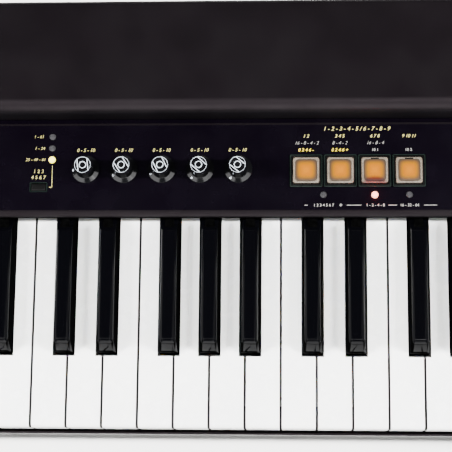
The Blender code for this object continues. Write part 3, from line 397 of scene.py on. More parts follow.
# painted light: this frame and the window after it have the lit red lamp's glow painted into their colours
FRAME_PAINTED_RED_GLOW = frosted_frame("frosted_acrylic_painted_red_glow", "#BB7979")
NICKEL = plated("nickel_plate", "#A9A8A3", "#C2C0BA", 0.22)
CHROME = plated("chrome_plate", "#C9CBCF", "#DADCDF", 0.08)
SILVER_FOIL = printed_ink("silver_hot_foil", "#A9B0B8", "#98A0A8")
CREAM_INK = printed_ink("cream_screen_ink", "#8F8750", "#756E42")
GREY_INK = printed_ink("grey_screen_ink", "#767470", "#5E5C59")
YELLOW_INK = printed_ink("yellow_screen_ink", "#B09A20", "#93811C")
DARK_INK = printed_ink("black_screen_ink", "#0A0A0A", "#121212")
RUBBER = moulded_rubber()
AMBER = lit_window("amber_acrylic")
AMBER_PAINTED_RED_GLOW = lit_window("amber_acrylic_painted_red_glow", "#CB90AA")
LENS_OFF = lamp_lens("milky_epoxy", "#232324", "#2B2A2C")
LENS_YELLOW = lamp_lens("yellow_lit_epoxy", "#8A8060", "#948A68", "#FFF04A", 5.0)
LENS_RED = lamp_lens("red_lit_epoxy", "#8A6058", "#946860", "#FFB090", 4.0)
DRAWBAR_PLASTIC = {
    "brown": moulded_plastic("brown_drawbar_abs", "#2A1008", "#33150B", 0.2),
    "white": moulded_plastic("white_drawbar_abs", "#D2D0C8", "#DAD8D0", 0.2),
    "black": moulded_plastic("black_drawbar_abs", "#020203", "#050506", 0.18),
}


# Modelling tools

def add_piece(name, bm, finish, body, smooth=35):
    """Makes a piece of the organ from a bmesh and lets it ride on a body.

    Its edges are shaded smooth up to the angle that smooth gives in degrees.
    """
    mesh = bpy.data.meshes.new(name)
    bm.to_mesh(mesh)
    bm.free()
    mesh.materials.append(finish)
    mesh.shade_smooth()
    mesh.set_sharp_from_angle(angle=math.radians(smooth))
    obj = bpy.data.objects.new(name, mesh)
    bpy.context.scene.collection.objects.link(obj)
    even = obj.modifiers.new("even_shading", "WEIGHTED_NORMAL")
    even.keep_sharp = True
    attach(obj, body)
    return obj


def body_of(node):
    """The body that a CAD node belongs to."""
    return NODES[node]["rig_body"]


def middle(node):
    """The middle of a CAD node's box."""
    low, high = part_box(node)
    return (low + high) / 2


def gathered(parts):
    """Several bmeshes as one."""
    whole = bmesh.new()
    for part in parts:
        mesh = bpy.data.meshes.new("part")
        part.to_mesh(mesh)
        part.free()
        whole.from_mesh(mesh)
        bpy.data.meshes.remove(mesh)
    return whole


def placed(bm, place):
    """Moves a bmesh by a matrix, or by a vector."""
    matrix = place if isinstance(place, Matrix) else Matrix.Translation(place)
    bmesh.ops.transform(bm, matrix=matrix, verts=bm.verts)
    return bm


def welded_copy(node):
    """A CAD node's mesh with its loose triangles joined into whole faces."""
    bm = bmesh.new()
    bm.from_mesh(NODES[node].data)
    bmesh.ops.remove_doubles(bm, verts=bm.verts, dist=WELD)
    bmesh.ops.dissolve_limit(
        bm, angle_limit=math.radians(0.5), use_dissolve_boundaries=False,
        verts=bm.verts, edges=bm.edges, delimit=set(),
    )
    return bm


def round_edges(bm, edges, width, segments=2):
    """Rounds these edges with a bevel of this width."""
    bmesh.ops.bevel(
        bm, geom=edges, offset=width, segments=segments, profile=0.5, affect="EDGES",
        material=-1, clamp_overlap=True,
    )


def outer_edges(bm, sharper_than=35):
    """The convex edges that are sharper than this many degrees."""
    return [
        e for e in bm.edges
        if e.is_manifold and e.is_convex and e.calc_face_angle() > math.radians(sharper_than)
    ]


def refinish(obj, finish, test):
    """Gives another finish to the faces that pass a test."""
    obj.data.materials.append(finish)
    for face in obj.data.polygons:
        if test(face):
            face.material_index = len(obj.data.materials) - 1


def copied_node(node, finish, width=0, segments=2, sharper_than=35, keep=None, smooth=35, shape=None):
    """Stands for a CAD node, with the same form and its outer edges rounded.

    A shape changes the form first, and keep says which of the outer edges are rounded.
    """
    bm = welded_copy(node)
    if shape:
        shape(bm)
    edges = [e for e in outer_edges(bm, sharper_than) if keep is None or keep(e)]
    if width:
        round_edges(bm, edges, width, segments)
    obj = add_piece(node + "_finished", bm, finish, body_of(node), smooth)
    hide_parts(node)
    return obj


def arc_points(centre, radius, start, end, steps):
    """Points of an arc as (u, v), from start to end degrees."""
    angles = [math.radians(start + (end - start) * i / steps) for i in range(steps + 1)]
    return [(centre[0] + radius * math.cos(a), centre[1] + radius * math.sin(a)) for a in angles]


def spun(profile, steps, closed=False):
    """A (radius, height) profile spun about Z. A closed profile makes a ring."""
    bm = bmesh.new()
    verts = [bm.verts.new((r, 0, z)) for r, z in profile]
    edges = [bm.edges.new(pair) for pair in zip(verts, verts[1:])]
    if closed:
        edges.append(bm.edges.new((verts[-1], verts[0])))
    bmesh.ops.spin(
        bm, geom=verts + edges, cent=(0, 0, 0), axis=(0, 0, 1), dvec=(0, 0, 0),
        angle=2 * math.pi, steps=steps, use_merge=True, use_duplicate=False,
    )
    bmesh.ops.remove_doubles(bm, verts=bm.verts, dist=SEAM)
    bmesh.ops.recalc_face_normals(bm, faces=bm.faces)
    return bm


def lofted(rings, steps=6, hollow=False):
    """Rounded rectangles joined one to the next, either capped at both ends or closed as a ring.

    Each of them is (half width, half depth, corner radius, height).
    """
    bm = bmesh.new()
    sheets = []
    for half_x, half_y, corner, height in rings:
        known = set(bm.faces)
        size = Matrix.Translation((0, 0, height)) @ Matrix.Diagonal((half_x, half_y, 1, 1))
        corners = bmesh.ops.create_grid(bm, x_segments=1, y_segments=1, size=1, matrix=size)["verts"]
        bmesh.ops.bevel(
            bm, geom=corners, offset=corner, segments=steps, profile=0.5, affect="VERTICES", material=-1
        )
        sheets.append(next(f for f in bm.faces if f not in known))
    outlines = [sheet.verts[:] for sheet in sheets]
    bmesh.ops.delete(bm, geom=sheets if hollow else sheets[1:-1], context="FACES_ONLY")
    followers = outlines[1:] + outlines[:1] if hollow else outlines[1:]
    # Corner joins corner here, because bridge_loops twists the band between two outlines in one plane
    for lower, upper in zip(outlines, followers):
        for i in range(len(lower)):
            bm.faces.new((lower[i - 1], lower[i], upper[i], upper[i - 1]))
    bmesh.ops.recalc_face_normals(bm, faces=bm.faces)
    return bm


def stroke(start, end, width, height=INK):
    """A straight bar of ink on the plane z = 0."""
    start, end = Vector((*start, 0)), Vector((*end, 0))
    along = end - start
    turn = Matrix.Rotation(math.atan2(along.y, along.x), 4, "Z")
    bm = lofted([(along.length / 2, width / 2, width * 0.3, z) for z in (-height, height)], 2)
    return placed(bm, Matrix.Translation((start + end) / 2) @ turn)


def lettering(text, height, slant=0.0, bold=0.0):
    """Characters this high, centred on the origin of the plane z = 0."""
    curve = bpy.data.curves.new("print", "FONT")
    curve.body = text
    curve.align_x = "CENTER"
    curve.align_y = "CENTER"
    curve.shear = slant
    curve.offset = bold
    curve.resolution_u = 4
    obj = bpy.data.objects.new("print", curve)
    bpy.context.scene.collection.objects.link(obj)
    bpy.context.view_layer.update()
    mesh = bpy.data.meshes.new_from_object(obj.evaluated_get(bpy.context.evaluated_depsgraph_get()))
    bm = bmesh.new()
    bm.from_mesh(mesh)
    bpy.data.objects.remove(obj)
    bpy.data.meshes.remove(mesh)
    bmesh.ops.remove_doubles(bm, verts=bm.verts, dist=FONT_SEAM)
    rows = [v.co.y for v in bm.verts]
    scale = height / (max(rows) - min(rows))
    bmesh.ops.translate(bm, verts=bm.verts, vec=(0, -(max(rows) + min(rows)) / 2, 0))
    bmesh.ops.scale(bm, verts=bm.verts, vec=(scale, scale, 1))
    raised = bmesh.ops.extrude_face_region(bm, geom=bm.faces[:])["geom"]
    tops = [g for g in raised if isinstance(g, bmesh.types.BMVert)]
    bmesh.ops.translate(bm, verts=tops, vec=(0, 0, 2 * INK))
    bmesh.ops.translate(bm, verts=bm.verts, vec=(0, 0, -INK))
    bmesh.ops.recalc_face_normals(bm, faces=bm.faces)
    return bm


# Keyboard

WHITE_RIM_DEPTH = 8 * MM  # edges this far below the key's top are its hidden lower rim
UPRIGHT_EDGE = 5 * MM  # an edge that rises more than this is seen although it starts lower
BLACK_GLOSS_DEPTH = 9 * MM  # the polished faces of a black key reach this far below its top
WHITE_PITCH = 23.5 * MM
WHITE_HALF = 11.2 * MM
BLACK_FOOT_HALF = 6.85 * MM
BLACK_SIDE_HEIGHT = 10 * MM  # from a black key's top down to its foot
NOTCH_LINE = -80 * MM  # the last points in front of this line are where a white key's notch starts
TAIL_LINE = -20 * MM  # and behind this one its top is the tail alone
# The photo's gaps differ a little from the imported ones, so the dressed keys are changed by these:
WHITE_SLIMMED = 0.2 * MM  # on each side
TAIL_WIDENED = 0.62 * MM  # on each side that faces a black key
BLACK_FOOT_SLIMMED = 0.38 * MM  # on each side, and nothing at its top
BLACK_STEP = 1 * MM  # where a packed black key's top starts to drop towards its tail
BLACK_STEP_DEPTH = 4 * MM  # the points there that lie this close to the top are moved
STEP_FORWARD = 10 * MM  # how much sooner it does in the photo


def key_edge(node):
    """Says whether an edge belongs to the part of this key that a player sees."""
    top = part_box(node)[1].z

    def seen(edge):
        low, high = sorted(v.co.z for v in edge.verts)
        return high > top - WHITE_RIM_DEPTH or high - low > UPRIGHT_EDGE

    return seen


def gloss_edge(node):
    """Says whether an edge lies among the polished upper faces of this black key."""
    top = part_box(node)[1].z

    def seen(edge):
        high = all(v.co.z > top - BLACK_GLOSS_DEPTH for v in edge.verts)
        return high and all(f.normal.z > 0.5 for f in edge.link_faces)

    return seen


def white_middle(x):
    """The middle of the white key that this X lies on. The keyboard's middle is between two keys."""
    return (math.floor(x / WHITE_PITCH) + 0.5) * WHITE_PITCH


def fit_white_keys(bm):
    """Slims the keys between themselves, and widens their tails towards the black keys."""
    top = max(v.co.z for v in bm.verts)
    tails = {}
    for face in bm.faces:
        if face.normal.z > 0.99 and face.calc_center_median().z > top - NEAR:
            sides = [v.co.x for v in face.verts if v.co.y > TAIL_LINE]
            for side, outward in ((min(sides), -1), (max(sides), 1)):
                if abs(side - white_middle(side)) < WHITE_HALF - MM:
                    tails[side] = outward * TAIL_WIDENED
    notch = max(v.co.y for v in bm.verts if v.co.y < NOTCH_LINE)
    for vert in bm.verts:
        centre = white_middle(vert.co.x)
        for side, outward in tails.items():
            if abs(vert.co.x - side) < NEAR and vert.co.y > notch - NEAR:
                vert.co.x += outward
        vert.co.x = centre + (vert.co.x - centre) * (1 - WHITE_SLIMMED / WHITE_HALF)


def fit_black_keys(bm):
    """Slims the keys towards their feet, and lets their tops drop sooner."""
    top = max(v.co.z for v in bm.verts)
    tops = [f.calc_center_median() for f in bm.faces if f.normal.z > 0.9]
    middles = [place.x for place in tops if place.z > top - NEAR]
    for vert in bm.verts:
        centre = min(middles, key=lambda x: abs(x - vert.co.x))
        share = min((top - vert.co.z) / BLACK_SIDE_HEIGHT, 1)
        vert.co.x = centre + (vert.co.x - centre) * (1 - share * BLACK_FOOT_SLIMMED / BLACK_FOOT_HALF)
        if vert.co.z > top - BLACK_STEP_DEPTH and abs(vert.co.y - BLACK_STEP) < 2 * MM:
            vert.co.y -= STEP_FORWARD


def keyboard():
    """Every key, polished on top; the naturals' sides are painted dark as the shade in the gaps, and the
    sharps' sides swallow the light.
    """
    keys = [node for node in NODES if node.startswith("key_") or node.endswith("_keys")]
    keys.remove("key_frame")
    for node in keys:
        if "sharp" in node or "black" in node:
            key = copied_node(
                node, BLACK_ABS, 0.6 * MM, 3, 18, gloss_edge(node), smooth=60, shape=fit_black_keys
            )
            refinish(key, GRAINED_ABS, lambda face: face.normal.z < 0.5)
        else:
            key = copied_node(
                node, WHITE_ABS, 0.3 * MM, 2, 50, key_edge(node), smooth=60, shape=fit_white_keys
            )
            # painted shade: the naturals' upright sides are dark grey, as the gaps between the keys lie in
            # shade
            refinish(key, PAINTED_SHADE_ABS, lambda face: abs(face.normal.x) > 0.6)


# Case

SCREW_RADIUS = 2.9 * MM
HOOD_SCREW_HEIGHT = 66 * MM
PANEL_REAR = 60.8 * MM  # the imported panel's rear edge
REAR_RIM = 61.15 * MM  # where the photo has it
HOOD_FLAT_FRONT = 73 * MM  # the hood's flat ends here, and its front bend begins
PACKED_HOOD_BEND = 7 * MM
HOOD_BEND = 8.3 * MM  # the radius in the photo
PANEL_FLAT_FRONT = 1.5 * MM  # the panel's flat ends here, and its nose begins
PACKED_NOSE_BEND = 4.6 * MM
NOSE_BEND = 3.8 * MM  # the radius in the photo


def screw():
    """A pan-head screw with a round socket, standing on the plane z = 0."""
    profile = [(0, 0.5 * MM), (1.15 * MM, 0.5 * MM), (1.3 * MM, 1.7 * MM)]
    profile += arc_points((1.9 * MM, 0.8 * MM), 1.0 * MM, 80, 5, 5)
    profile += [(SCREW_RADIUS, 0), (0, 0)]
    return spun(profile, 24)


def case_screws():
    """The screws that hold the hood at the back and the tray from below."""
    outward = Matrix.Rotation(-math.pi / 2, 4, "X")
    behind = [
        Matrix.Translation((x * MM, BACK, HOOD_SCREW_HEIGHT)) @ outward for x in range(-400, 401, 160)
    ]
    down = Matrix.Rotation(math.pi, 4, "X")
    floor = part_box("base_pan")[0].z
    below = [
        Matrix.Translation((x * MM, y * MM, floor)) @ down for x in range(-360, 361, 180) for y in (-95, 40)
    ]
    heads = gathered([placed(screw(), place) for place in behind + below])
    add_piece("case_screws", heads, NICKEL, CASE)


def rear_step(edge):
    """The panel's upper rear edge."""
    return all(v.co.z > PANEL_TOP - NEAR and abs(v.co.y - REAR_RIM) < NEAR for v in edge.verts)


def outline_film(bm):
    """Splits the panel's faces along the front and the rear edge of its film."""
    for y in (FILM_FRONT, FILM_REAR):
        geometry = bm.verts[:] + bm.edges[:] + bm.faces[:]
        bmesh.ops.bisect_plane(bm, geom=geometry, dist=WELD, plane_co=(0, y, 0), plane_no=(0, 1, 0))


def under_film(face):
    """The panel's flat between the film's edges, the step down behind it, and the floor behind that."""
    flat = face.normal.z > 0.99 and FILM_FRONT < face.center.y < FILM_REAR
    floor = face.normal.z > 0.99 and face.center.z < PANEL_TOP - 1 * MM
    return flat or floor or face.normal.y > 0.99


def bend_again(bm, start, top, packed, wanted):
    """Lets a sheet's front bend start at the same line but turn with another radius."""
    for vert in bm.verts:
        if vert.co.y < start:
            if vert.co.z > top - packed - WELD:
                vert.co.z = top - (top - vert.co.z) * wanted / packed
            vert.co.y = start - (start - vert.co.y) * wanted / packed


def shape_panel(bm):
    """Gives the panel its nose and its rear edge of the photo, and the outline of its film."""
    bend_again(bm, PANEL_FLAT_FRONT, PANEL_TOP, PACKED_NOSE_BEND, NOSE_BEND)
    for vert in bm.verts:
        if abs(vert.co.y - PANEL_REAR) < WELD:
            vert.co.y = REAR_RIM
    outline_film(bm)


def shape_hood(bm):
    """Gives the hood its front bend of the photo."""
    bend_again(bm, HOOD_FLAT_FRONT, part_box("top_hood")[1].z, PACKED_HOOD_BEND, HOOD_BEND)


def case():
    """The sheets, the end blocks, the feet, the chassis and the screws."""
    panel = copied_node(
        "control_panel", PANEL_COAT, 0.15 * MM, 2, 60, rear_step, smooth=40, shape=shape_panel
    )
    refinish(panel, FILM, under_film)
    refinish(panel, PRIMER, lambda face: face.normal.y < -0.9)
    hood = copied_node("top_hood", COAT, shape=shape_hood)
    # painted light: the hood's front faces take the lighter coat, in place of light that the lamps don't
    # bring there
    refinish(hood, PAINTED_LIGHT_COAT, lambda face: face.normal.y < -0.95)
    copied_node("base_pan", COAT)
    copied_node("left_cheek", LACQUER, smooth=50)
    copied_node("right_cheek", LACQUER, smooth=50)
    copied_node("front_foot", RUBBER)
    copied_node("rear_foot", RUBBER)
    copied_node("key_frame", ZINC)
    case_screws()


# Controls

SKIRT_GAP = 0.6 * MM  # a knob's skirt stands this far over the panel
DISH_DEPTH = 0.8 * MM  # from a knob's upper edge down to the dish in its cap
BEZEL_SIDE = 21.2 * MM
CAP_CORNER = 1.5 * MM
CAP_EDGE = 0.7 * MM  # radius of a square cap's upper edge
FRAME_WIDTH = 1.5 * MM  # from a square cap's side to its window
WINDOW_CORNER = 2.2 * MM
WINDOW_TALLER = 0.25 * MM  # the window is this much longer than wide, to each end
WINDOW_GAP = 0.05 * MM
STEM_RADIUS = 2.5 * MM


def knob(node):
    """A knob: glossy skirt and grip, bright rings and bars set into its cap, and a dot on its skirt."""
    centre = middle(node)
    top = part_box(node)[1].z - PANEL_TOP
    turn = Matrix.Rotation(-math.radians(POINTER_ANGLES[node]), 4, "Z")
    place = Matrix.Translation((centre.x, centre.y, PANEL_TOP)) @ turn
    dish = top - DISH_DEPTH
    # From the dish over the rounded upper edge, down the grip and out to the rim of the skirt
    profile = [(0, dish), (5.35 * MM, dish), (5.45 * MM, top - 0.35 * MM)]
    profile += arc_points((5.68 * MM, top - 0.35 * MM), 0.23 * MM, 180, 10, 6)
    profile += arc_points((6.65 * MM, 3.4 * MM), 0.45 * MM, 182, 248, 4)
    profile += arc_points((9.1 * MM, 1.85 * MM), 0.15 * MM, 70, 0, 3)
    profile += [(9.25 * MM, SKIRT_GAP), (0, SKIRT_GAP)]
    turned = placed(spun(profile, 96), place)
    grip = add_piece(node + "_grip", turned, KNOB_PLASTIC, body_of(node), smooth=40)
    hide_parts(node)
    low, high = dish - 0.1 * MM, dish + 0.45 * MM  # the bright inlay stands in the dish
    bright = []
    for inner, outer in ((5.1 * MM, 5.38 * MM), (1.9 * MM, 2.35 * MM)):
        ring = [(inner, low), (inner, high - 0.1 * MM), (inner + 0.1 * MM, high)]
        ring += [(outer - 0.1 * MM, high), (outer, high - 0.1 * MM), (outer, low)]
        bright.append(spun(ring, 72, closed=True))
    for y in (-3.3 * MM, 3.3 * MM):
        half = (3.85 * MM, 0.24 * MM)
        bar = lofted([(*half, 0.1 * MM, low), (*half, 0.1 * MM, high - 0.02 * MM)], 2)
        bright.append(placed(bar, Vector((0, y, 0))))
    add_piece(node + "_rings", placed(gathered(bright), place), SILVER_FOIL, body_of(node))
    # The pointer's dot, domed, on the skirt's slope
    dome = [(0, 2.95 * MM), *arc_points((0.35 * MM, 2.55 * MM), 0.4 * MM, 80, 0, 5), (0.75 * MM, 1.9 * MM)]
    dot = placed(spun(dome + [(0, 1.9 * MM)], 20), Vector((0, -8.0 * MM, 0)))
    add_piece(node + "_pointer", placed(dot, place), SILVER_FOIL, body_of(node))


def window_across(obj, centre, half):
    """A UV map that runs from -1 to 1 across the window."""
    across = obj.data.uv_layers.new(name="window")
    for loop in obj.data.loops:
        point = obj.data.vertices[loop.vertex_index].co
        across.data[loop.index].uv = ((point.x - centre.x) / half, (point.y - centre.y) / half)


def cap_latch(node, at, half, top):
    """The small black latch behind a square cap's window."""
    base = (2.7 * MM, 0.45 * MM, 0.2 * MM, top - 0.2 * MM)
    crown = (2.7 * MM, 0.4 * MM, 0.2 * MM, top + 0.06 * MM)
    place = at + Vector((0, half - 0.95 * MM, 0))
    add_piece(node + "_latch", placed(lofted([base, crown], 2), place), SWITCH_PLASTIC, body_of(node))


def cap_window(node, at, reach_x, reach_y, top, finish):
    """The domed window that lies in a square cap's frame."""
    rings = [(reach_x, reach_y, WINDOW_CORNER, top - depth * MM) for depth in (0.8, 0.25)]
    for share, height in ((0.975, -0.08), (0.93, 0.04), (0.8, 0.18), (0.55, 0.28), (0.25, 0.33)):
        rings.append((reach_x * share, reach_y * share, WINDOW_CORNER * share, top + height * MM))
    window = add_piece(
        node + "_window", placed(lofted(rings, 8), at), finish, body_of(node), smooth=50
    )
    window_across(window, at, reach_x)


def moulded_rim(name, at, half_x, half_y, section):
    """A moulded rim round an opening of the panel.

    Its section is a list of (distance outwards, corner radius, height), all in millimetres.
    """
    rings = [
        (half_x + out * MM, half_y + out * MM, corner * MM, height * MM) for out, corner, height in section
    ]
    add_piece(name, placed(lofted(rings, 4, hollow=True), at), BEZEL_PLASTIC, CASE)


def push_button(node):
    """A square cap: a frosted frame with rounded edges round an amber window, on its stem."""
    low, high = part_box(node)
    half, top = (high.x - low.x) / 2, high.z
    centre = middle(node)
    at = Vector((centre.x, centre.y, 0))
    # Up the cap's side, over its rounded edge, across the frame and down into the window's opening
    rings = [(half, half, CAP_CORNER, low.z + 2.4 * MM)]
    for inward, height in arc_points((-CAP_EDGE, top - CAP_EDGE), CAP_EDGE, 0, 90, 5):
        rings.append((half + inward, half + inward, CAP_CORNER + inward, height))
    opening = half - FRAME_WIDTH
    for out, height in ((0.3 * MM, 0), (0, -0.3 * MM), (0, -0.9 * MM)):
        rings.append((opening + out, opening + WINDOW_TALLER + out, WINDOW_CORNER, top + height))
    foot, head = low.z, low.z + 2.6 * MM
    stem = spun([(0, foot), (STEM_RADIUS, foot), (STEM_RADIUS, head), (0, head)], 24)
    # the cap beside the red lamp has that lamp's red glow painted into its frame and window
    frosted, amber = (FRAME_PAINTED_RED_GLOW, AMBER_PAINTED_RED_GLOW) if node == BESIDE_RED_LAMP else (CAP_FRAME, AMBER)
    cap = placed(gathered([lofted(rings, 8), stem]), at)
    frame_piece = add_piece(node + "_cap", cap, frosted, body_of(node))
    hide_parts(node)
    if node in LATCHED:
        cap_latch(node, at, half, top)
    reach = opening - WINDOW_GAP
    cap_window(node, at, reach, reach + WINDOW_TALLER, top, amber)
    rim = Vector((centre.x, centre.y, PANEL_TOP + 0.5 * MM))
    half_x, half_y = BEZEL_SIDE / 2, BEZEL_SIDE / 2 + 0.2 * MM
    section = ((0, 0.8, -0.6), (0, 0.8, 0.2), (-0.12, 0.7, 0.3), (-0.4, 0.5, 0.3), (-0.5, 0.4, -0.6))
    moulded_rim(node + "_bezel", rim, half_x, half_y, section)


def lamp(name, x, y, finish):
    """A lamp's domed lens, with the faint ring that its reflector leaves in it."""
    profile = [(0, 1.1 * MM), (0.9 * MM, 1.08 * MM), (1.1 * MM, 0.9 * MM), (1.3 * MM, 1.0 * MM)]
    profile += [(1.75 * MM, 0.82 * MM), (2.05 * MM, 0.45 * MM), (2.2 * MM, 0.1 * MM)]
    profile += [(2.2 * MM, -2 * MM), (0, -2 * MM)]
    add_piece(name, placed(spun(profile, 36), Vector((x, y, PANEL_TOP))), finish, CASE)


def slot_rim(name, node, half_x, half_y):
    """A thin moulded rim round the slot that this control stands in."""
    centre = middle(node)
    section = ((0.35, 0.5, -0.1), (0.25, 0.4, 0.2), (0.05, 0.3, 0.2), (-0.1, 0.3, -0.1))
    moulded_rim(name, Vector((centre.x, centre.y, PANEL_TOP)), half_x, half_y, section)


def controls():
    """Everything that stands out of the panel, except the drawbars."""
    for node in (*TONE_KNOBS, "volume_knob", "vibrato_knob"):
        knob(node)
    for node in PUSH_BUTTONS:
        push_button(node)
    lit = {YELLOW_LAMP_NUMBER: LENS_YELLOW, RED_LAMP_NUMBER: LENS_RED}
    for i, (x, y) in enumerate(MODE_LAMPS + BUTTON_LAMPS, 1):
        lamp(f"lamp_{i}_lens", x, y, lit.get(i, LENS_OFF))
    copied_node("mode_button", SWITCH_PLASTIC, 0.25 * MM)
    slot_rim("mode_button_rim", "mode_button", 5.5 * MM, 2.9 * MM)
    copied_node("rotor_lever", CHROME)
    slot_rim("lever_rim", "rotor_lever", 6.5 * MM, 3 * MM)
    copied_node("control_board", SWITCH_PLASTIC)


# Drawbars

CAP_LENGTH = 15 * MM
BAR_TOP = 83.4 * MM  # the height of the bar behind its cap
SCALE_START = 66 * MM
SCALE_STEP = 5.5 * MM
CAP_DIGIT = 7.6 * MM  # how far behind the cap's front its footage stands


def drawbar(node, tint, footage):
    """A drawbar with softened edges, its footage on the cap and its scale along the bar."""
    low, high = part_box(node)

    def clear_hood(bm):
        """Ends the cap sooner, because the hood's dressed bend reaches further forward."""
        for vert in bm.verts:
            if abs(vert.co.y - low.y - CAP_LENGTH) < 0.3 * MM:
                vert.co.y -= HOOD_BEND - PACKED_HOOD_BEND

    copied_node(node, DRAWBAR_PLASTIC[tint], 0.35 * MM, 3, 25, smooth=50, shape=clear_hood)
    centre_x = (low.x + high.x) / 2
    marks = []
    for step in range(1, 9):
        at = Vector((centre_x, SCALE_START + (step - 0.5) * SCALE_STEP, BAR_TOP))
        marks.append(placed(lettering(str(step), 3.2 * MM), at))
    on_cap = Vector((centre_x, low.y + CAP_DIGIT, high.z - 0.35 * MM))
    marks.append(placed(lettering(footage, 4.6 * MM), on_cap))
    ink = DARK_INK if tint == "white" else GREY_INK
    add_piece(node + "_scale", gathered(marks), ink, body_of(node))


def drawbars():
    """The nine drawbars, with their colours and footages."""
    for node, tint, footage in zip(DRAWBARS, DRAWBAR_COLOURS, FOOTAGES):
        drawbar(node, tint, footage)


# Print

TICKS_FROM = 10.8 * MM  # from the volume knob's middle
TICKS_TO = 12.6 * MM
STEP_NUMBERS = 12.4 * MM  # from the selector's middle


def on_panel(bm, x, y):
    """Puts a form that stands on the plane z = 0 on the panel, at a place in millimetres."""
    return placed(bm, Vector((x * MM, y * MM, PANEL_TOP)))


def print_panel():
    """Plain numbers and rules beside the controls. Places on the panel are in millimetres."""
    cream, grey, yellow = [], [], []
    for i in range(5):
        cream.append(on_panel(lettering("0 - 5 - 10", 2.3 * MM, 0.25, 0.01), 105.0 + 25.3 * i, 42.8))
    for x, y, text in ((73.2, 52.2, "1 - 61"), (74.0, 44.2, "1 - 24"), (71.4, 36.5, "25 - 49 - 61")):
        cream.append(on_panel(lettering(text, 2.0 * MM, 0.25, 0.0), x, y))
    for y, text in ((28.5, "1 2 3"), (24.4, "4 5 6 7")):
        cream.append(on_panel(lettering(text, 2.5 * MM, 0.1, 0.01), 73.7, y))
    for start, end in (((82.9, 32.4), (82.9, 17.5)), ((83.1, 17.6), (81.0, 17.6))):
        cream.append(on_panel(stroke(Vector(start) * MM, Vector(end) * MM, 0.4 * MM), 0, 0))
    cream.append(on_panel(lettering("1 - 2 - 3 - 4 - 5 / 6 - 7 - 8 - 9", 2.8 * MM, 0.25, 0.01), 285.0, 57.0))
    for x, text in ((251.6, "1 2"), (273.8, "3 4 5"), (296.9, "6 7 8"), (319.4, "9 10 11")):
        cream.append(on_panel(lettering(text, 2.3 * MM, 0.25, 0.02), x, 52.0))
    for x, text in ((252, "16 - 8 - 4 - 2"), (273.8, "8 - 4 - 2"), (297.1, "16 - 8 - 4")):
        grey.append(on_panel(lettering(text, 2.1 * MM, 0.3, -0.01), x, 47.3))
    for x, text in ((251.5, "0 2 4 6 -"), (273.8, "0 2 4 6 +")):
        yellow.append(on_panel(lettering(text, 2.3 * MM, 0.25, 0.03), x, 42.6))
    for x, y, text in ((297.1, 42.6, "10 1"), (319.1, 42.6, "10 2"), (297.0, 5.3, "1 - 2 - 4 - 8"),
                       (319.2, 5.3, "16 - 32 - 64"), (263.2, 5.3, "1 2 3 4 5 6 7"), (274.4, 5.3, "+")):
        grey.append(on_panel(lettering(text, 1.9 * MM, 0.0, 0.01), x, y))
    for start, end in ((278.3, 287.6), (305.5, 311.0), (328.5, 337.1), (250.6, 252.6)):
        grey.append(on_panel(stroke((start * MM, 5.2 * MM), (end * MM, 5.2 * MM), 0.4 * MM), 0, 0))
    for name, parts, ink in (("cream_print", cream, CREAM_INK), ("grey_print", grey, GREY_INK),
                             ("yellow_print", yellow, YELLOW_INK)):
        add_piece(name, gathered(parts), ink, CASE)


def print_dials():
    """Ticks round the volume knob, and a number at each of the selector's six steps."""
    marks = []
    for node, count, first, span in (("volume_knob", 11, 30, 300), ("vibrato_knob", 6, 105, 150)):
        centre = middle(node)
        for i in range(count):
            angle = math.radians(first + span * i / (count - 1))
            out = Vector((-math.sin(angle), -math.cos(angle), 0))
            if node == "vibrato_knob":
                at = (*(centre + out * STEP_NUMBERS).xy, PANEL_TOP)
                marks.append(placed(lettering(str(i + 1), 2.2 * MM), at))
            else:
                start, end = out.xy * TICKS_FROM, out.xy * TICKS_TO
                marks.append(placed(stroke(start, end, 0.5 * MM), (centre.x, centre.y, PANEL_TOP)))
    add_piece("dial_print", gathered(marks), GREY_INK, CASE)


# Rear connectors

CONTACT_CIRCLE = 4.5 * MM  # the radius on which a round socket's contacts stand


def facing_back(x, z=SOCKET_AXIS):
    """Puts a form that stands on the plane z = 0 on the outside of the back wall."""
    return Matrix.Translation((x, BACK, z)) @ Matrix.Rotation(-math.pi / 2, 4, "X")


def jack_nut(x):
    """A jack's washer and hexagon nut."""
    washer = [(4.9 * MM, 0), (6.9 * MM, 0), (6.9 * MM, 0.4 * MM), (6.7 * MM, 0.5 * MM), (4.9 * MM, 0.5 * MM)]
    nut = [(4.85 * MM, 0.4 * MM), (6.2 * MM, 0.4 * MM), (6.2 * MM, 1.6 * MM), (5.9 * MM, 1.9 * MM)]
    nut += [(4.85 * MM, 1.9 * MM)]
    forms = [spun(washer, 48, closed=True), spun(nut, 6, closed=True)]
    return [placed(form, facing_back(x)) for form in forms]


def jack_throat(x):
    """The threaded sleeve that a jack plug goes into."""
    throat = [(3.25 * MM, -6 * MM), (3.25 * MM, 2.0 * MM), (3.9 * MM, 2.15 * MM), (4.6 * MM, 2.0 * MM)]
    throat += [(4.82 * MM, 1.7 * MM), (4.82 * MM, -0.5 * MM), (3.6 * MM, -0.5 * MM), (3.6 * MM, -6 * MM)]
    return placed(spun(throat, 48, closed=True), facing_back(x))


def round_collar(x):
    """The collar of a round socket."""
    collar = [(6.7 * MM, -6 * MM), (6.7 * MM, -0.1 * MM), (7.0 * MM, 0.1 * MM), (8.3 * MM, 0.1 * MM)]
    collar += [(8.65 * MM, -0.2 * MM), (8.65 * MM, -1 * MM), (7 * MM, -1 * MM), (7 * MM, -6 * MM)]
    return placed(spun(collar, 60, closed=True), facing_back(x))


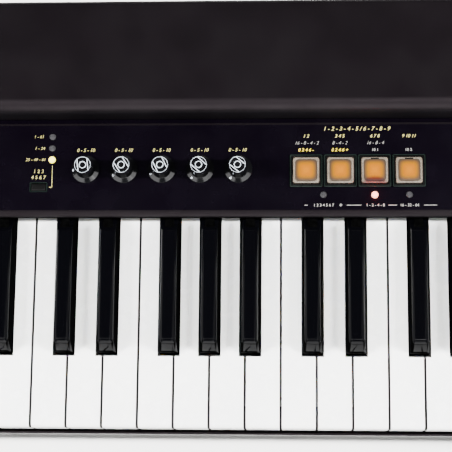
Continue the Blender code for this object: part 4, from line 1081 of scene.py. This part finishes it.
def round_contact(x, angle):
    """One of a round socket's five contacts: a short tube at its bottom."""
    turn = math.radians(angle)
    at = (x + CONTACT_CIRCLE * math.cos(turn), SOCKET_AXIS - CONTACT_CIRCLE * math.sin(turn))
    tube = [(0.5 * MM, -9.1 * MM), (0.5 * MM, -8.2 * MM), (0.8 * MM, -8.2 * MM), (0.8 * MM, -9.1 * MM)]
    return placed(spun(tube, 16, closed=True), facing_back(*at))


def rear_connectors():
    """The sockets' metal and plastic fittings on the back wall, and the power rocker."""
    copied_node("jack_board", SWITCH_PLASTIC)
    copied_node("power_rocker", SWITCH_PLASTIC, 0.3 * MM)
    nuts = [part for x in JACK_XS for part in jack_nut(x)]
    collars = [jack_throat(x) for x in JACK_XS] + [round_collar(x) for x in ROUND_SOCKET_XS]
    contacts = [round_contact(x, angle) for x in ROUND_SOCKET_XS for angle in (180, 225, 270, 315, 360)]
    add_piece("jack_nuts", gathered(nuts), NICKEL, CASE)
    add_piece("socket_collars", gathered(collars), SWITCH_PLASTIC, CASE)
    add_piece("socket_contacts", gathered(contacts), NICKEL, CASE)


# Studio

AIM = Vector((0.2, 0, 0.07))  # the softboxes face the part of the organ that the photo shows


def camera():
    """The photograph's own view."""
    data = bpy.data.cameras.new("camera")
    data.lens = CAMERA_LENS
    data.sensor_width = SENSOR
    data.clip_start = 0.05
    data.clip_end = 20
    obj = bpy.data.objects.new("camera", data)
    obj.location = CAMERA_PLACE
    obj.rotation_euler = [math.radians(a) for a in CAMERA_TURN]
    bpy.context.scene.collection.objects.link(obj)
    bpy.context.scene.camera = obj


def softbox(name, azimuth, elevation, distance, size, watts, lights=True, shines=True):
    """A rectangular light that faces the organ from this side and height.

    One may light the surfaces without a shine on them, or only put the shine there.
    """
    data = bpy.data.lights.new(name, "AREA")
    data.shape = "RECTANGLE"
    data.size, data.size_y = size
    data.energy = watts
    obj = bpy.data.objects.new(name, data)
    side, rise = math.radians(azimuth), math.radians(elevation)
    away = Vector((math.cos(side) * math.cos(rise), math.sin(side) * math.cos(rise), math.sin(rise)))
    obj.location = AIM + away * distance
    obj.rotation_euler = away.to_track_quat("Z", "Y").to_euler()
    obj.visible_diffuse = lights
    obj.visible_glossy = shines
    bpy.context.scene.collection.objects.link(obj)


def softboxes():
    """The strips light the white keys from the sides and above, and the boxes put the shine on the blacks."""
    softbox("left_strip", 181, 32, 2.1, (0.12, 0.9), 215, shines=False)
    softbox("right_strip", 359, 32, 2.1, (0.12, 0.9), 215, shines=False)
    softbox("top_strip", 270, 89.5, 1.9, (2.4, 0.12), 70, shines=False)
    softbox("left_front_box", 208, 54, 1.7, (1.06, 0.66), 36, lights=False)
    softbox("right_front_box", 328, 65, 1.7, (1.08, 0.54), 33, lights=False)
    softbox("left_wall", 188, 14, 1.7, (1.0, 0.85), 11, lights=False)
    softbox("right_wall", 352, 14, 1.7, (1.0, 0.85), 11, lights=False)
    softbox("high_front_strip", 270, 74.5, 1.7, (1.2, 0.22), 12, lights=False)
    softbox("low_front_box", 270, 17, 1.8, (1.4, 1.5), 84, lights=False)
    softbox("low_front_fill", 270, 13, 1.8, (1.4, 1.2), 29, shines=False)
    softbox("rear_box", 80, 28, 2.0, (1.2, 0.6), 10)


def studio_air():
    """A faint even light from all sides."""
    world = bpy.data.worlds.new("studio_air")
    world.use_nodes = True
    air = world.node_tree.nodes["Background"].inputs
    air["Color"].default_value = colour("#E6E7EA")
    air["Strength"].default_value = 0.16
    bpy.context.scene.world = world


def paper_floor():
    """The pale paper that the organ stands on."""
    bm = bmesh.new()
    bmesh.ops.create_grid(bm, x_segments=1, y_segments=1, size=3)
    mesh = bpy.data.meshes.new("floor")
    bm.to_mesh(mesh)
    bm.free()
    mesh.materials.append(studio_paper())
    floor = bpy.data.objects.new("floor", mesh)
    floor.location.z = -0.3 * MM
    bpy.context.scene.collection.objects.link(floor)


def red_lamp_glow():
    """The light that the lit red lamp throws on the panel and on the button behind it."""
    data = bpy.data.lights.new("red_lamp_glow", "POINT")
    data.energy = 0.011
    data.color = colour("#FF3A20")[:3]
    data.shadow_soft_size = 1 * MM
    obj = bpy.data.objects.new("red_lamp_glow", data)
    obj.location = RED_LAMP + Vector((0, 0, 4 * MM))
    obj.visible_camera = False
    bpy.context.scene.collection.objects.link(obj)


camera()
softboxes()
studio_air()
paper_floor()
red_lamp_glow()
keyboard()
case()
controls()
drawbars()
print_panel()
print_dials()
rear_connectors()
